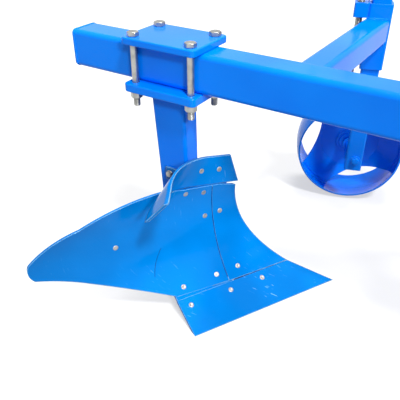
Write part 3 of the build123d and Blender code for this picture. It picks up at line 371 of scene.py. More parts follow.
def clamp_bolt(foot):
    """Shank, head, washer and nut of one bolt, its heights measured from the floor."""
    nut_top = BEAM_UNDERSIDE - LOWER_PLATE - WASHER_HEIGHT
    nut_low = nut_top - NUT_HEIGHT
    tail = nut_low - BOLT_TAIL
    head_low = BEAM_TOP + UPPER_PLATE
    rod = [(0.0, tail), (BOLT_RADIUS * 0.8, tail)]
    rod += threaded_rows(tail + 0.002, nut_top, BOLT_RADIUS, THREAD_PITCH)
    rod += [(BOLT_RADIUS, nut_top + 0.001), (BOLT_RADIUS, head_low), (0.0, head_low + 0.001)]
    head = hexagon_block(head_low, head_low + HEAD_HEIGHT, NUT_FLATS)
    nut = hexagon_block(nut_low, nut_top, NUT_FLATS)
    return [
        turned(rod, foot, UP, 32, pitch=THREAD_PITCH, depth=THREAD_DEPTH),
        turned(head, foot, UP, flats=NUT_FLATS, first=BEAM_ALONG),
        turned(washer(nut_top, nut_top + WASHER_HEIGHT, WASHER_RADIUS), foot, UP),
        turned(nut, foot, UP, flats=NUT_FLATS, first=BEAM_ALONG),
    ]


for prefix, step in BODIES.items():
    shells = []
    for along in (-BOLT_STEP, BOLT_STEP):
        for across in (-BOLT_SIDE, BOLT_SIDE):
            shells += clamp_bolt(CLAMP_MIDDLE + step + BEAM_ALONG * along + BEAM_LEFT * across)
    bolts = piece(f"{prefix}_clamp_bolt_set", shells, "frame", zinc)
    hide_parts(f"{prefix}_clamp_bolts")

# ---- Plough bolts ----
# Countersunk M12 bolts draw the wearing plates back against the frog, strap, bracket and stay.
# Their round heads lie almost flush, in bright zinc; behind, each has a washer, nut and thread,
# except those tapped into the frog.
EDGE_ANGLE = radians(42.0)
ALONG_EDGE = np.array((-cos(EDGE_ANGLE), -sin(EDGE_ANGLE), 0.0))
BEHIND_EDGE = np.array((-sin(EDGE_ANGLE), cos(EDGE_ANGLE), 0.0))
RAY_START = 0.6
HEAD_RADIUS, HEAD_RISE, HEAD_SUNK = 0.0080, 0.0010, 0.002
PLOUGH_NUT_FLATS, PLOUGH_NUT_HEIGHT = 0.019, 0.010
PLOUGH_WASHER_RADIUS, PLOUGH_WASHER_HEIGHT = 0.0125, 0.0022
PLOUGH_BOLT_RADIUS, PLOUGH_TAIL = 0.006, 0.007
PLOUGH_PITCH, PLOUGH_THREAD = 0.00175, 0.0009
# How far behind a face its backing is sought, how far a nut and tail reach behind that, and how
# far inside the land side they have to stay.
BACKING_REACH, NUT_REACH, LAND_CLEARANCE = 0.040, 0.020, 0.013
# Distance along the share's edge and height of each bolt, by the plate that it holds.
PLOUGH_BOLTS = {
    "share": [(0.492, 0.0437), (0.351, 0.0437), (0.232, 0.0441)],
    "shin": [(0.314, 0.249), (0.295, 0.081)],
    "mouldboard": [
        (0.667, 0.235), (0.434, 0.346), (0.371, 0.331),
        (0.368, 0.247), (0.491, 0.075), (0.374, 0.078),
    ],
    "trash_board": [(0.374, 0.403), (0.313, 0.393)],
}
BACKING = ("frog", "trash_strap", "trash_bracket", "wing_stay")


def ray_tree(names):
    """All triangles of some nodes, ready for rays."""
    points, faces = [], []
    for name in names:
        mesh = nodes[name].data
        start = len(points)
        points += [tuple(vertex.co) for vertex in mesh.vertices]
        faces += [tuple(corner + start for corner in polygon.vertices) for polygon in mesh.polygons]
    return BVHTree.FromPolygons(points, faces)


def first_hit(tree, origin, direction):
    """Where a ray first meets the surfaces, and the surface's direction there."""
    place, normal, _, _ = tree.ray_cast(Vector(origin), Vector(direction))
    return (None, None) if place is None else (np.array(place), np.array(normal))


def plough_bolt(face, outward, seat):
    """Head on the working face, and a washer, nut and tail of thread behind the backing.
    Heights are distances along outward from the face: 0 at the face, -depth at the seat."""
    depth = float(np.dot(face - seat, outward))
    nut_high = -depth - PLOUGH_WASHER_HEIGHT
    nut_low = nut_high - PLOUGH_NUT_HEIGHT
    tail = nut_low - PLOUGH_TAIL
    dome = [(0.0, -HEAD_SUNK), (HEAD_RADIUS, -HEAD_SUNK), (HEAD_RADIUS, 0.0)]
    dome += [(HEAD_RADIUS - 0.0012, HEAD_RISE * 0.8), (HEAD_RADIUS * 0.55, HEAD_RISE)]
    dome += [(HEAD_RADIUS * 0.45, HEAD_RISE * 0.55), (0.0, HEAD_RISE * 0.45)]
    rod = [(0.0, tail), (PLOUGH_BOLT_RADIUS * 0.75, tail)]
    rod += threaded_rows(tail + 0.001, nut_low + 0.002, PLOUGH_BOLT_RADIUS, PLOUGH_PITCH)
    rod += [(PLOUGH_BOLT_RADIUS, nut_low + 0.003), (0.0, nut_low + 0.003)]
    nut = hexagon_block(nut_low, nut_high, PLOUGH_NUT_FLATS)
    return [turned(dome, face, outward, 32)], [
        turned(washer(nut_high, -depth, PLOUGH_WASHER_RADIUS), face, outward, 32),
        turned(nut, face, outward, flats=PLOUGH_NUT_FLATS),
        turned(rod, face, outward, 24, pitch=PLOUGH_PITCH, depth=PLOUGH_THREAD),
    ]


BRIGHT_LIGHT, BRIGHT_DARK = (0.50, 0.485, 0.45, 1.0), (0.27, 0.26, 0.25, 1.0)
bright_zinc = plated("bright_zinc", BRIGHT_LIGHT, BRIGHT_DARK, 0.45)
for prefix, step in BODIES.items():
    backing = ray_tree([f"{prefix}_{part}" for part in BACKING + tuple(PLOUGH_BOLTS)])
    heads, nuts = [], []
    for part, places in PLOUGH_BOLTS.items():
        plate = ray_tree([f"{prefix}_{part}"])
        for along, height in places:
            start = share_tip + step + ALONG_EDGE * along + UP * height - BEHIND_EDGE * RAY_START
            face, outward = first_hit(plate, start, BEHIND_EDGE)
            seat, _ = first_hit(backing, face - outward * BACKING_REACH, outward)
            head, nut = plough_bolt(face, outward, seat)
            heads += head
            # A bolt whose tail would pass the frog's land side is tapped into the frog instead.
            tail = seat - outward * NUT_REACH
            if tail[1] < share_tip[1] + step[1] - LAND_CLEARANCE:
                nuts += nut
    piece(f"{prefix}_plough_bolt_heads", heads, "frame", bright_zinc)
    piece(f"{prefix}_plough_bolt_nuts", nuts, "frame", zinc)

# ---- Seam between share and plates ----
# The share's top edge and the foot of the shin and mouldboard both rest on the frog's lip. The
# joint is filled flush with weld, ground off and painted, so that soil doesn't catch on it.
SHARE_SLOPE, SHARE_WIDTH = radians(28.0), 0.119
SHARE_BACK = BEHIND_EDGE * SHARE_WIDTH * cos(SHARE_SLOPE)
SHARE_RISE = SHARE_WIDTH * sin(SHARE_SLOPE)
SEAM_START, SEAM_END = 0.330, 0.527
SEAM_DEPTH, SEAM_SUNK = 0.009, 0.0004
# Heights above the share's top edge at which the plates' foot is sought, lowest first.
FOOT_RISES = (0.002, 0.004, 0.006, 0.009, 0.013)


def capped(rings):
    """Rings of points with a ring of their first and last one's middle added at the two ends."""
    count = rings.shape[1]
    caps = [ring.mean(axis=0)[None, None].repeat(count, 1) for ring in (rings[0], rings[-1])]
    return np.concatenate([caps[0], rings, caps[1]])


for prefix, step in BODIES.items():
    plate = ray_tree([f"{prefix}_mouldboard", f"{prefix}_shin"])
    along = np.linspace(SEAM_START, SEAM_END, 24)
    edge_line = share_tip + step + np.outer(along, ALONG_EDGE) + SHARE_BACK
    edge_line = edge_line + UP * (SHARE_RISE - SEAM_SUNK)
    foot_line = []
    for start in edge_line - BEHIND_EDGE * RAY_START / 2:
        tries = [first_hit(plate, start + UP * rise, BEHIND_EDGE)[0] for rise in FOOT_RISES]
        foot_line.append(next(place for place in tries if place is not None) + BEHIND_EDGE * 0.0006)
    foot_line = np.array(foot_line)
    # Front face = edge line + across (foot line - edge line); the back is it, moved in and down.
    across = np.linspace(0.0, 1.0, 4)[:, None, None]
    front = edge_line + (foot_line - edge_line) * across
    back = front[::-1] + (BEHIND_EDGE * 0.5 - UP) * SEAM_DEPTH
    rings = capped(np.concatenate([front, back]).transpose(1, 0, 2))
    shell = (rings.reshape(-1, 3), grid_faces(*rings.shape[:2]))
    piece(f"{prefix}_seam_fill", [shell], "frame", body_enamel)

# ---- Weld beads ----
# The frame is welded from cut tube and plate by hand. Each joint keeps its raised, rippled run of
# weld under the enamel, round the leg's head, the tubes' ends, the brackets, arm, sleeve and wheel.
BEAD_STEP, BEAD_PITCH = 0.0010, 0.0045


def outlines(name, place, normal):
    """Loops where a plane cuts a node, the longest first: its length is the sum of its edges."""
    shape = bmesh.new()
    shape.from_mesh(nodes[name].data)
    bmesh.ops.remove_doubles(shape, verts=shape.verts, dist=1e-5)
    cut = bmesh.ops.bisect_plane(
        shape, geom=shape.verts[:] + shape.edges[:] + shape.faces[:], dist=1e-6,
        plane_co=Vector(place), plane_no=Vector(normal),
    )
    links = {}
    for item in cut["geom_cut"]:
        if isinstance(item, bmesh.types.BMEdge):
            first, second = item.verts
            links.setdefault(first, []).append(second)
            links.setdefault(second, []).append(first)
    loops = []
    while links:
        vertex, loop = next(iter(links)), []
        while vertex is not None:
            loop.append(np.array(vertex.co))
            after = [other for other in links.pop(vertex) if other in links]
            vertex = after[0] if after else None
        loops.append(np.array(loop))
    shape.free()
    edges = [loop - np.roll(loop, 1, axis=0) for loop in loops]
    lengths = [np.linalg.norm(edge, axis=1).sum() for edge in edges]
    return [loops[place] for place in np.argsort(-np.array(lengths), kind="stable")]


def even_path(path, closed, rounding=0.004):
    """Points at even steps along a path; each is then the mean of those within the rounding."""
    if closed:
        path = np.concatenate([path, path[:1]])
    reach = np.concatenate([[0.0], np.cumsum(np.linalg.norm(np.diff(path, axis=0), axis=1))])
    count = max(int(reach[-1] / BEAD_STEP), 10)
    at = np.linspace(0.0, reach[-1], count, endpoint=not closed)
    points = np.stack([np.interp(at, reach, path[:, axis]) for axis in range(3)], axis=1)
    width = int(rounding / BEAD_STEP)
    if closed:
        before, after = points[-width:], points[:width]
    else:
        before, after = points[:1].repeat(width, 0), points[-1:].repeat(width, 0)
    padded = np.concatenate([before, points, after])
    return np.mean([padded[shift:shift + count] for shift in range(2 * width + 1)], axis=0)


def bead(path, closed, radius, normal, ripple=0.11, sides=8):
    """A rope along a path with radius r (1 + ripple sin(2 pi n travel / length + 1.3 cos turn)
    + 0.05 sin(8 pi travel / length)), n a whole number of ripples; an open end closes to a point
    over three steps, as sqrt(1 - (1 - steps / 3) squared)."""
    points = even_path(path, closed)
    ahead = np.roll(points, -1, axis=0) - np.roll(points, 1, axis=0)
    if not closed:
        ahead[0], ahead[-1] = points[1] - points[0], points[-1] - points[-2]
    ahead = ahead / np.linalg.norm(ahead, axis=1, keepdims=True)
    side = np.cross(normal, ahead)
    side = side / np.linalg.norm(side, axis=1, keepdims=True)
    outward = np.cross(ahead, side)
    travel = np.arange(len(points))[:, None] / len(points)
    cycles = round(len(points) * BEAD_STEP / BEAD_PITCH)
    turn = np.linspace(0.0, 2 * pi, sides, endpoint=False)
    swell = 1 + ripple * np.sin(2 * pi * cycles * travel + 1.3 * np.cos(turn))
    swell = swell + 0.05 * np.sin(8 * pi * travel)
    if not closed:
        row = np.arange(len(points))
        near_end = np.clip(np.minimum(row, row[::-1]) / 3.0, 0.0, 1.0)
        swell = swell * np.sqrt(1 - (1 - near_end) ** 2)[:, None]
    ring = np.cos(turn)[:, None] * outward[:, None] + np.sin(turn)[:, None] * side[:, None]
    rings = points[:, None] + radius * swell[..., None] * ring
    if closed:
        rings = np.concatenate([rings, rings[:1]])
    return rings.reshape(-1, 3), grid_faces(len(rings), sides)


def longest_run(loop, keep):
    """The longest part of a loop whose points are all kept."""
    if keep.all():
        return loop
    start = int(np.argmin(keep))
    loop, keep = np.roll(loop, -start, axis=0), np.roll(keep, -start)
    edges = np.flatnonzero(np.diff(np.concatenate([[0], keep.astype(int), [0]])))
    runs = edges.reshape(-1, 2)
    first, last = runs[np.argmax(runs[:, 1] - runs[:, 0])]
    return loop[first:last]


AHEAD, LEFT = np.array((1.0, 0.0, 0.0)), np.array((0.0, 1.0, 0.0))
TUBE_REAR = share_tip + AHEAD * 0.8592
BEAM_LEFT_FACE = CLAMP_MIDDLE + BEAM_LEFT * (BEAM_HALF_WIDTH + 0.0008)
SLEEVE_TOP_WELD, SLEEVE_LOW_WELD, SLEEVE_WELD_HALF = 0.7436, 0.6624, 0.039
MAST_FOOT = share_tip + UP * 0.7588
LEG_HEAD, STEM_CAP, AXLE_ROOT = UP * 0.6222, UP * 0.9046, LEFT * 0.4926
BRACKET_FACES = (-0.5106, -0.4894, -0.0106, 0.0106)
# Node cut, a point of the plane, its normal, the bead's radius.
FRAME_WELDS = [
    ("main_beam", TUBE_REAR, AHEAD, 0.0040),
    ("main_beam", CLAMP_MIDDLE - BEAM_ALONG * 0.3292, BEAM_ALONG, 0.0020),
    ("frame_brace", TUBE_REAR, AHEAD, 0.0040),
    ("frame_brace", BEAM_LEFT_FACE, BEAM_LEFT, 0.0040),
    ("wheel_arm", BEAM_LEFT_FACE, BEAM_LEFT, 0.0040),
    ("mast_brace", MAST_FOOT, UP, 0.0035),
    ("screw_nut", share_tip - AHEAD * 0.0022, AHEAD, 0.0025),
    ("cross_tube", share_tip + LEFT * 0.0694, LEFT, 0.0020),
    ("cross_tube", share_tip - LEFT * 0.5694, LEFT, 0.0020),
]
for across in BRACKET_FACES:
    FRAME_WELDS.append(("cross_tube", share_tip + LEFT * across, LEFT, 0.0038))
    FRAME_WELDS.append(("lower_link_shaft", share_tip + LEFT * across, LEFT, 0.0035))
beads = []
for name, place, normal, radius in FRAME_WELDS:
    beads.append(bead(outlines(name, place, normal)[0], True, radius, normal))
beads += [bead(loop, True, 0.0035, UP) for loop in outlines("mast_plates", MAST_FOOT, UP)[:2]]
arm_low, arm_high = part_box("wheel_arm")
arm_middle = np.array((arm_low + arm_high) / 2)
for height in (SLEEVE_TOP_WELD, SLEEVE_LOW_WELD):
    loop = even_path(outlines("stem_sleeve", share_tip + UP * height, UP)[0], True, 0.001)
    offset = (loop - arm_middle) @ BEAM_ALONG
    run = longest_run(loop, (np.abs(offset) < SLEEVE_WELD_HALF) & (loop[:, 1] < arm_high.y))
    beads.append(bead(run, False, 0.0035, UP))
piece("frame_welds", beads, "frame", frame_enamel)
for prefix, step in BODIES.items():
    around = [bead(outlines(f"{prefix}_leg", share_tip + LEG_HEAD, UP)[0], True, 0.0035, UP)]
    piece(f"{prefix}_leg_weld", around, "frame", frame_enamel)
stem_beads = [
    bead(outlines("wheel_stem", share_tip + STEM_CAP, UP)[0], True, 0.0025, UP),
    bead(outlines("stub_axle", share_tip + AXLE_ROOT, LEFT)[0], True, 0.0030, LEFT),
]
piece("stem_welds", stem_beads, "wheel_leg", frame_enamel)

# Each of the web's three lobes is welded to the rim on both faces, and the web to the hub.
WHEEL_MIDDLE = share_tip + np.array((0.020, 0.0, 0.211))
LOBE_MIDDLES, LOBE_HALF, LOBE_RADIUS = (110.0, 230.0, 350.0), 19.0, 0.190
HUB_WELD_RADIUS = 0.0525
wheel_tree = ray_tree(["wheel_rim"])


def spoke_at(turn):
    """The direction out from the wheel's middle: ahead cos turn + up sin turn."""
    return cos(turn) * AHEAD + sin(turn) * UP


wheel_beads = []
for middle in LOBE_MIDDLES:
    for start, direction in ((0.54, LEFT), (0.80, -LEFT)):
        run = []
        for turn in np.radians(np.linspace(middle - LOBE_HALF, middle + LOBE_HALF, 40)):
            spoke = spoke_at(turn)
            beside = WHEEL_MIDDLE + spoke * LOBE_RADIUS + LEFT * start
            face, _ = first_hit(wheel_tree, beside, direction)
            inside = WHEEL_MIDDLE + LEFT * (face - WHEEL_MIDDLE - direction * 0.0012)[1]
            wall, _ = first_hit(wheel_tree, inside + spoke * (LOBE_RADIUS + 0.002), spoke)
            run.append(wall)
        wheel_beads.append(bead(np.array(run), False, 0.0035, LEFT))
for start, direction in ((0.45, LEFT), (0.80, -LEFT)):
    ring = []
    for turn in np.radians(np.arange(0.0, 360.0, 5.0)):
        beside = WHEEL_MIDDLE + spoke_at(turn) * HUB_WELD_RADIUS + LEFT * start
        face, _ = first_hit(wheel_tree, beside, direction)
        ring.append(face - spoke_at(turn) * 0.0020)
    wheel_beads.append(bead(np.array(ring), True, 0.0030, LEFT))
piece("wheel_welds", wheel_beads, "gauge_wheel", frame_enamel)

# ---- Joints between the plates ----
# Shin and mouldboard meet in a narrow open joint over the frog, and the shin's foot in another
# over the share. A near-black bead sunk into each is painted shade, in place of the shade inside
# the joints. A thin raised line of the same painted shade runs down the wing.
# Near-black blues of the painted shade in the joints and along the wing.
JOINT_SHADE_DEEP, JOINT_SHADE_LIGHT = (0.0, 0.012, 0.12, 1.0), (0.0, 0.018, 0.16, 1.0)
JOINT_SHADE_EDGE, JOINT_ROUGHNESS = (0.0, 0.02, 0.20, 1.0), 0.6
joint_shade_enamel = enamel("joint_shade_enamel", JOINT_SHADE_DEEP, JOINT_SHADE_LIGHT, JOINT_SHADE_EDGE, JOINT_ROUGHNESS, 0.0)
JOINT_RADIUS, JOINT_DEPTH, JOINT_GAP = 0.0016, 0.0010, 0.0008
JOINT_LOW, JOINT_HIGH = 0.064, 0.345
LOW_JOINT_START, LOW_JOINT_END, LOW_JOINT_GAP = 0.128, 0.328, 0.0012
MARK_RADIUS, MARK_START, MARK_END, MARK_BOW = 0.0011, (0.528, 0.191), (0.569, 0.116), 0.006
for prefix, step in BODIES.items():
    shin, board = ray_tree([f"{prefix}_shin"]), ray_tree([f"{prefix}_mouldboard"])
    upright, mark = [], []
    # At each height the rays step from the wing towards the land side until one meets the shin.
    for height in np.linspace(JOINT_LOW, JOINT_HIGH, 60):
        start = share_tip + step + UP * height - BEHIND_EDGE * RAY_START
        starts = (start + ALONG_EDGE * along for along in np.arange(0.500, 0.150, -0.0005))
        tries = (first_hit(shin, place, BEHIND_EDGE) for place in starts)
        beside, outward = next((hit for hit in tries if hit[0] is not None), (None, None))
        if beside is not None:
            upright.append(beside + ALONG_EDGE * JOINT_GAP - outward * JOINT_DEPTH)
    along = np.linspace(LOW_JOINT_START, LOW_JOINT_END, 60)
    low_joint = share_tip + step + np.outer(along, ALONG_EDGE) + SHARE_BACK
    low_joint = low_joint + BEHIND_EDGE * LOW_JOINT_GAP + UP * (SHARE_RISE - SEAM_SUNK)
    # The mark's place along the edge = straight from start to end + bow sin(pi part).
    for part in np.linspace(0.0, 1.0, 24):
        along = MARK_START[0] + (MARK_END[0] - MARK_START[0]) * part + MARK_BOW * sin(pi * part)
        height = MARK_START[1] + (MARK_END[1] - MARK_START[1]) * part
        start = share_tip + step + ALONG_EDGE * along + UP * height - BEHIND_EDGE * RAY_START
        face, outward = first_hit(board, start, BEHIND_EDGE)
        mark.append(face - outward * MARK_RADIUS * 0.60)
    # Dark beads: painted shade in the two joints and along the wing.
    shade_beads = [
        bead(np.array(upright), False, JOINT_RADIUS, BEHIND_EDGE, 0.0),
        bead(low_joint, False, JOINT_RADIUS, UP, 0.0),
        bead(np.array(mark), False, MARK_RADIUS, BEHIND_EDGE, 0.0, 6),
    ]
    piece(f"{prefix}_plate_joint_shade", shade_beads, "frame", joint_shade_enamel)

# ---- Landside, heel and bracket bolts ----
# More countersunk M12 bolts hold landside and heel to the frog; an M10 hexagon bolt holds the
# trash board's bracket to the leg.
LANDSIDE_FACE, LANDSIDE_DEPTH = -0.002, 0.033
# Distance from the share's tip, negative behind it, and height.
LANDSIDE_BOLTS = [(-0.270, 0.058), (-0.395, 0.058), (-0.520, 0.058)]
HEEL_BOLTS = [(-0.615, 0.056), (-0.665, 0.056)]
BRACKET_BOLT, BRACKET_BOLT_FLATS = BEAM_ALONG * 0.007 + UP * 0.372, 0.017
for prefix, step in BODIES.items():
    behind = ray_tree([f"{prefix}_frog", f"{prefix}_heel", f"{prefix}_landside"])
    heads, nuts = [], []
    for along, height in LANDSIDE_BOLTS + HEEL_BOLTS:
        face = share_tip + step + np.array((along, LANDSIDE_FACE, height))
        seat, _ = first_hit(behind, face - LEFT * LANDSIDE_DEPTH, LEFT)
        head, nut = plough_bolt(face, LEFT, seat)
        heads += head
        nuts += nut
    piece(f"{prefix}_landside_bolt_heads", heads, "frame", bright_zinc)
    piece(f"{prefix}_landside_bolt_nuts", nuts, "frame", zinc)
    outside = ray_tree([f"{prefix}_trash_bracket", f"{prefix}_leg"])
    start = CLAMP_MIDDLE + step + BRACKET_BOLT - BEAM_LEFT * RAY_START / 2
    face, outward = first_hit(outside, start, BEAM_LEFT)
    bolt = [turned(washer(-0.001, 0.0022, 0.0105), face, outward, 32)]
    head = hexagon_block(0.0020, 0.0090, BRACKET_BOLT_FLATS)
    bolt.append(turned(head, face, outward, flats=BRACKET_BOLT_FLATS))
    piece(f"{prefix}_bracket_bolt", bolt, "frame", bright_zinc)

# ---- Stem bolt ----
# Low on the wheel stem, a hexagon bolt head and thick washer close the stem's lower bore. They
# were fitted before spraying, so the enamel runs over them.
STEM_BOLT, STEM_BOLT_FLATS = share_tip + np.array((0.041, 0.452, 0.218)), 0.024
stem_head = hexagon_block(0.0035, 0.0145, STEM_BOLT_FLATS)
stem_bolt = [
    turned(washer(-0.001, 0.0040, 0.0185), STEM_BOLT, -LEFT, 40),
    turned(stem_head, STEM_BOLT, -LEFT, flats=STEM_BOLT_FLATS),
]
piece("stem_bolt", stem_bolt, "wheel_leg", frame_enamel)

# ---- Depth screw ----
# Steel bar of 24 mm with a coarse thread of 5 mm pitch rolled on it, and two collars pinned to it
# above and below the stem's cap. It turns in the nut block on the sleeve.
SCREW_FOOT = share_tip + np.array((-0.027, 0.472, 0.0))
SCREW_RADIUS, SCREW_PITCH, SCREW_CUT = 0.012, 0.005, 0.0024
SCREW_LOW, THREAD_LOW, THREAD_TOP, SCREW_TOP = 0.530, 0.5335, 0.884, 0.965
COLLARS, COLLAR_RADIUS, COLLAR_HEIGHT = (0.891, 0.917), 0.019, 0.014
PIN_HALF, PIN_RADIUS, BROKEN_EDGE = 0.0192, 0.0027, 0.001


def straight_pin(half, radius, corner, rise):
    """Profile of a pin's upper and lower half, its ends drawn in by a corner over a rise."""
    upper = [(radius, half - rise), (radius - corner, half), (0.0, half)]
    return [(across, -height) for across, height in reversed(upper)] + upper


screw_rows = [(0.0, SCREW_LOW), (SCREW_RADIUS * 0.75, SCREW_LOW)]
screw_rows += [(SCREW_RADIUS * 0.93, SCREW_LOW + 0.003)]
screw_rows += threaded_rows(THREAD_LOW, THREAD_TOP, SCREW_RADIUS, SCREW_PITCH)
screw_rows += [(SCREW_RADIUS, THREAD_TOP + BROKEN_EDGE)]
for low in COLLARS:
    high, narrow = low + COLLAR_HEIGHT, COLLAR_RADIUS - BROKEN_EDGE
    screw_rows += [(SCREW_RADIUS, low), (narrow, low), (COLLAR_RADIUS, low + BROKEN_EDGE)]
    screw_rows += [(COLLAR_RADIUS, high - BROKEN_EDGE), (narrow, high), (SCREW_RADIUS, high)]
screw_rows += [(SCREW_RADIUS, SCREW_TOP - BROKEN_EDGE), (0.0, SCREW_TOP)]
screw_shells = [turned(screw_rows, SCREW_FOOT, UP, 32, pitch=SCREW_PITCH, depth=SCREW_CUT)]
collar_pin = straight_pin(PIN_HALF, PIN_RADIUS, 0.0005, 0.0006)
for low in COLLARS:
    pin_middle = SCREW_FOOT + UP * (low + COLLAR_HEIGHT / 2)
    screw_shells.append(turned(collar_pin, pin_middle, AHEAD - LEFT, 16))
screw = piece("depth_screw_thread", screw_shells, "wheel_leg", zinc)
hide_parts("depth_screw")

# ---- Crank ----
# A forged arm on the screw's head, its two bosses joined by a flat web, with a hand grip of turned
# steel tube that spins on a riveted spindle. A pin across one boss fixes the arm to the screw.
CRANK_REACH, CRANK_LOW, CRANK_HIGH = 0.130, SCREW_TOP, SCREW_TOP + 0.016
CRANK_MIDDLE = (CRANK_LOW + CRANK_HIGH) / 2
BOSS_RADIUS, BOSS_EDGE = 0.0155, 0.002
GRIP_RADIUS, GRIP_LOW, GRIP_HIGH, SPINDLE_TOP = 0.0138, CRANK_HIGH + 0.003, 1.086, 1.091
GROOVES, GROOVE_DEPTH, SPINDLE_RADIUS = (CRANK_HIGH + 0.016, SPINDLE_TOP - 0.018), 0.0009, 0.006
WEB_WIDTH, WEB_HEIGHT, WEB_SQUARENESS = (0.0085, 0.0035), (0.0045, 0.0015), 0.45
# The web's half width and half height = narrowest + widening x flare, where flare is
# 1 - sin(pi reach / full reach). Its section is those times cos and sin of the turn, each to the
# power 0.45 with its sign kept.
reach = np.linspace(0.0, CRANK_REACH, 40)
turn = np.linspace(0.0, 2 * pi, 24, endpoint=False)
flare = 1 - np.sin(pi * reach / CRANK_REACH)
half_width = WEB_WIDTH[0] + WEB_WIDTH[1] * flare
half_height = WEB_HEIGHT[0] + WEB_HEIGHT[1] * flare
section = [np.sign(wave) * np.abs(wave) ** WEB_SQUARENESS for wave in (np.cos(turn), np.sin(turn))]
arm_rings = np.stack([
    -reach[:, None] + 0.0 * turn,
    half_width[:, None] * section[0],
    CRANK_MIDDLE + half_height[:, None] * section[1],
], axis=-1)
arm_rings = capped(arm_rings) + SCREW_FOOT
boss = disc(CRANK_LOW, CRANK_HIGH, BOSS_RADIUS, BOSS_EDGE)
grip_foot = SCREW_FOOT - AHEAD * CRANK_REACH
grip_ends = disc(GRIP_LOW, GRIP_HIGH, GRIP_RADIUS, BOSS_EDGE)
grip = grip_ends[:3]
for height in GROOVES:
    grip += [(GRIP_RADIUS, height - 0.0020), (GRIP_RADIUS - GROOVE_DEPTH, height - 0.0010)]
    grip += [(GRIP_RADIUS - GROOVE_DEPTH, height + 0.0010), (GRIP_RADIUS, height + 0.0020)]
grip += grip_ends[3:]
spindle = [(0.0, CRANK_LOW + 0.001), (SPINDLE_RADIUS, CRANK_LOW + 0.001)]
spindle += [(SPINDLE_RADIUS, SPINDLE_TOP - 0.003), (0.008, SPINDLE_TOP - 0.003)]
spindle += [(0.0075, SPINDLE_TOP - 0.0015), (0.0045, SPINDLE_TOP - 0.0004), (0.0, SPINDLE_TOP)]
cross_pin = [(0.0, -0.016), (0.003, -0.016), (0.003, 0.016), (0.0, 0.016)]
crank_shells = [
    (arm_rings.reshape(-1, 3), grid_faces(*arm_rings.shape[:2])),
    turned(boss, SCREW_FOOT, UP, 40),
    turned(boss, grip_foot, UP, 40),
    turned(grip, grip_foot, UP, 40),
    turned(spindle, grip_foot, UP, 24),
    turned(cross_pin, SCREW_FOOT + UP * CRANK_MIDDLE, LEFT, 16),
]
crank = piece("depth_crank_arm", crank_shells, "wheel_leg", zinc)
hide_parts("depth_crank")

# ---- Linch pins ----
# A spring-ringed linch pin drops through each lower link pin and keeps the tractor's link on it.
# Zinc-plated, with the ring of 4 mm wire snapped round the link pin.
LINK_MIDDLE = share_tip + np.array((1.030, -0.250, 0.480))
LINCH_OFFSET, RING_RADIUS, RING_WIRE = 0.447, 0.0225, 0.002
linch_pin = [(0.0, -0.0250), (0.0035, -0.0250), (0.0048, -0.0220), (0.0048, 0.0165)]
linch_pin += [(0.0080, 0.0175), (0.0085, 0.0195), (0.0085, 0.0275), (0.0070, 0.0295), (0.0, 0.0300)]
# The ring = middle + radius (ahead cos turn + up sin turn).
turn = np.linspace(0.0, 2 * pi, 90, endpoint=False)[:, None]
ring = RING_RADIUS * (np.cos(turn) * AHEAD + np.sin(turn) * UP)
for side_name, side in (("left", 1.0), ("right", -1.0)):
    middle = LINK_MIDDLE + LEFT * side * LINCH_OFFSET
    spring_ring = bead(middle + ring, True, RING_WIRE, LEFT, 0.0, 10)
    shells = [turned(linch_pin, middle, UP, 32), spring_ring]
    piece(f"{side_name}_linch_pin", shells, "frame", zinc)

# ---- Grease nipple ----
# A zinc-plated nipple is screwed into the hub's barrel, so that the wheel's bearing can be greased.
# Heights in its profile are measured from the axle's line.
HUB_SIDE, NIPPLE_TURN = WHEEL_MIDDLE + LEFT * 0.672, radians(110.0)
nipple = [(0.0, 0.036), (0.0045, 0.036), (0.0045, 0.0420), (0.0030, 0.0425), (0.0025, 0.0445)]
nipple += [(0.0033, 0.0460), (0.0030, 0.0475), (0.0012, 0.0485), (0.0, 0.0485)]
nipple_shell = turned(nipple, HUB_SIDE, spoke_at(NIPPLE_TURN), 24)
piece("grease_nipple", [nipple_shell], "gauge_wheel", zinc)

# ---- Floor, backdrop and light ----
# A plain white studio: two lamps on the furrow side, one overhead, and even light all round. The
# floor looks white and keeps the shadow, but sends little light back up under the plough.
FLOOR_HALF = 7.0
FLOOR_SEEN, FLOOR_BOUNCE = (0.42, 0.42, 0.42, 1.0), (0.26, 0.26, 0.26, 1.0)
FLOOR_GLOW, NO_GLOW = (0.58, 0.58, 0.58, 1.0), (0.0, 0.0, 0.0, 1.0)
WORLD_LIGHT, LAMP_DISTANCE = 0.34, 4.0
# Name, strength, spread, height above the level and turn from straight beside, in degrees.
LAMPS = [
    ("high_lamp", 2.3, 8.0, 57.0, 40.0),
    ("low_lamp", 1.8, 8.0, 30.0, 34.0),
    ("top_lamp", 1.8, 24.0, 80.0, 160.0),
]


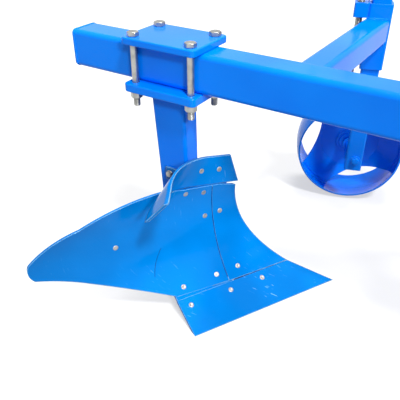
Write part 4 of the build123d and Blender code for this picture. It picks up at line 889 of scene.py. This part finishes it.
def seen_directly(tree):
    """1 for what the camera sees itself, in gloss or through glass, 0 for light that spreads:
    the lesser of 1 and the sum of the three rays' marks."""
    path = tree.nodes.new("ShaderNodeLightPath")
    kinds = ("Is Camera Ray", "Is Glossy Ray", "Is Transmission Ray")
    camera_ray, glossy_ray, passed_ray = [Value(tree, path.outputs[kind]) for kind in kinds]
    return camera_ray.math("MINIMUM", camera_ray + glossy_ray + passed_ray, 1.0)


floor_mesh = bpy.data.meshes.new("floor")
turns = [(-1, -1), (1, -1), (1, 1), (-1, 1)]
corners = [(FLOOR_HALF * ahead, FLOOR_HALF * left, 0.0) for ahead, left in turns]
floor_mesh.from_pydata(corners, [], [(0, 1, 2, 3)])
floor = bpy.data.objects.new("floor", floor_mesh)
bpy.context.scene.collection.objects.link(floor)
floor_material, floor_shader, floor_start = new_material("floor")
wire(floor_shader, "Base Color", seen_directly(floor_start.tree).colour(FLOOR_BOUNCE, FLOOR_SEEN))
wire(floor_shader, "Emission Color", seen_directly(floor_start.tree).colour(NO_GLOW, FLOOR_GLOW))
floor_shader.inputs["Emission Strength"].default_value = 1.0
floor_shader.inputs["Roughness"].default_value = 1.0
floor_shader.inputs["Specular IOR Level"].default_value = 0.0
floor_mesh.materials.append(floor_material)

world = bpy.data.worlds.new("studio")
world.use_nodes = True
bpy.context.scene.world = world
background = world.node_tree.nodes["Background"]
background.inputs["Color"].default_value = (1.0, 1.0, 1.0, 1.0)
wire(background, "Strength", seen_directly(world.node_tree) * (1.0 - WORLD_LIGHT) + WORLD_LIGHT)

for name, strength, spread, height, turn in LAMPS:
    lamp_data = bpy.data.lights.new(name, "SUN")
    lamp_data.energy = strength
    lamp_data.angle = radians(spread)
    lamp = bpy.data.objects.new(name, lamp_data)
    turn, height = radians(turn), radians(height)
    towards = Vector((sin(turn) * cos(height), -cos(turn) * cos(height), sin(height)))
    lamp.location = towards * LAMP_DISTANCE
    lamp.rotation_euler = towards.to_track_quat("Z", "Y").to_euler()
    bpy.context.scene.collection.objects.link(lamp)
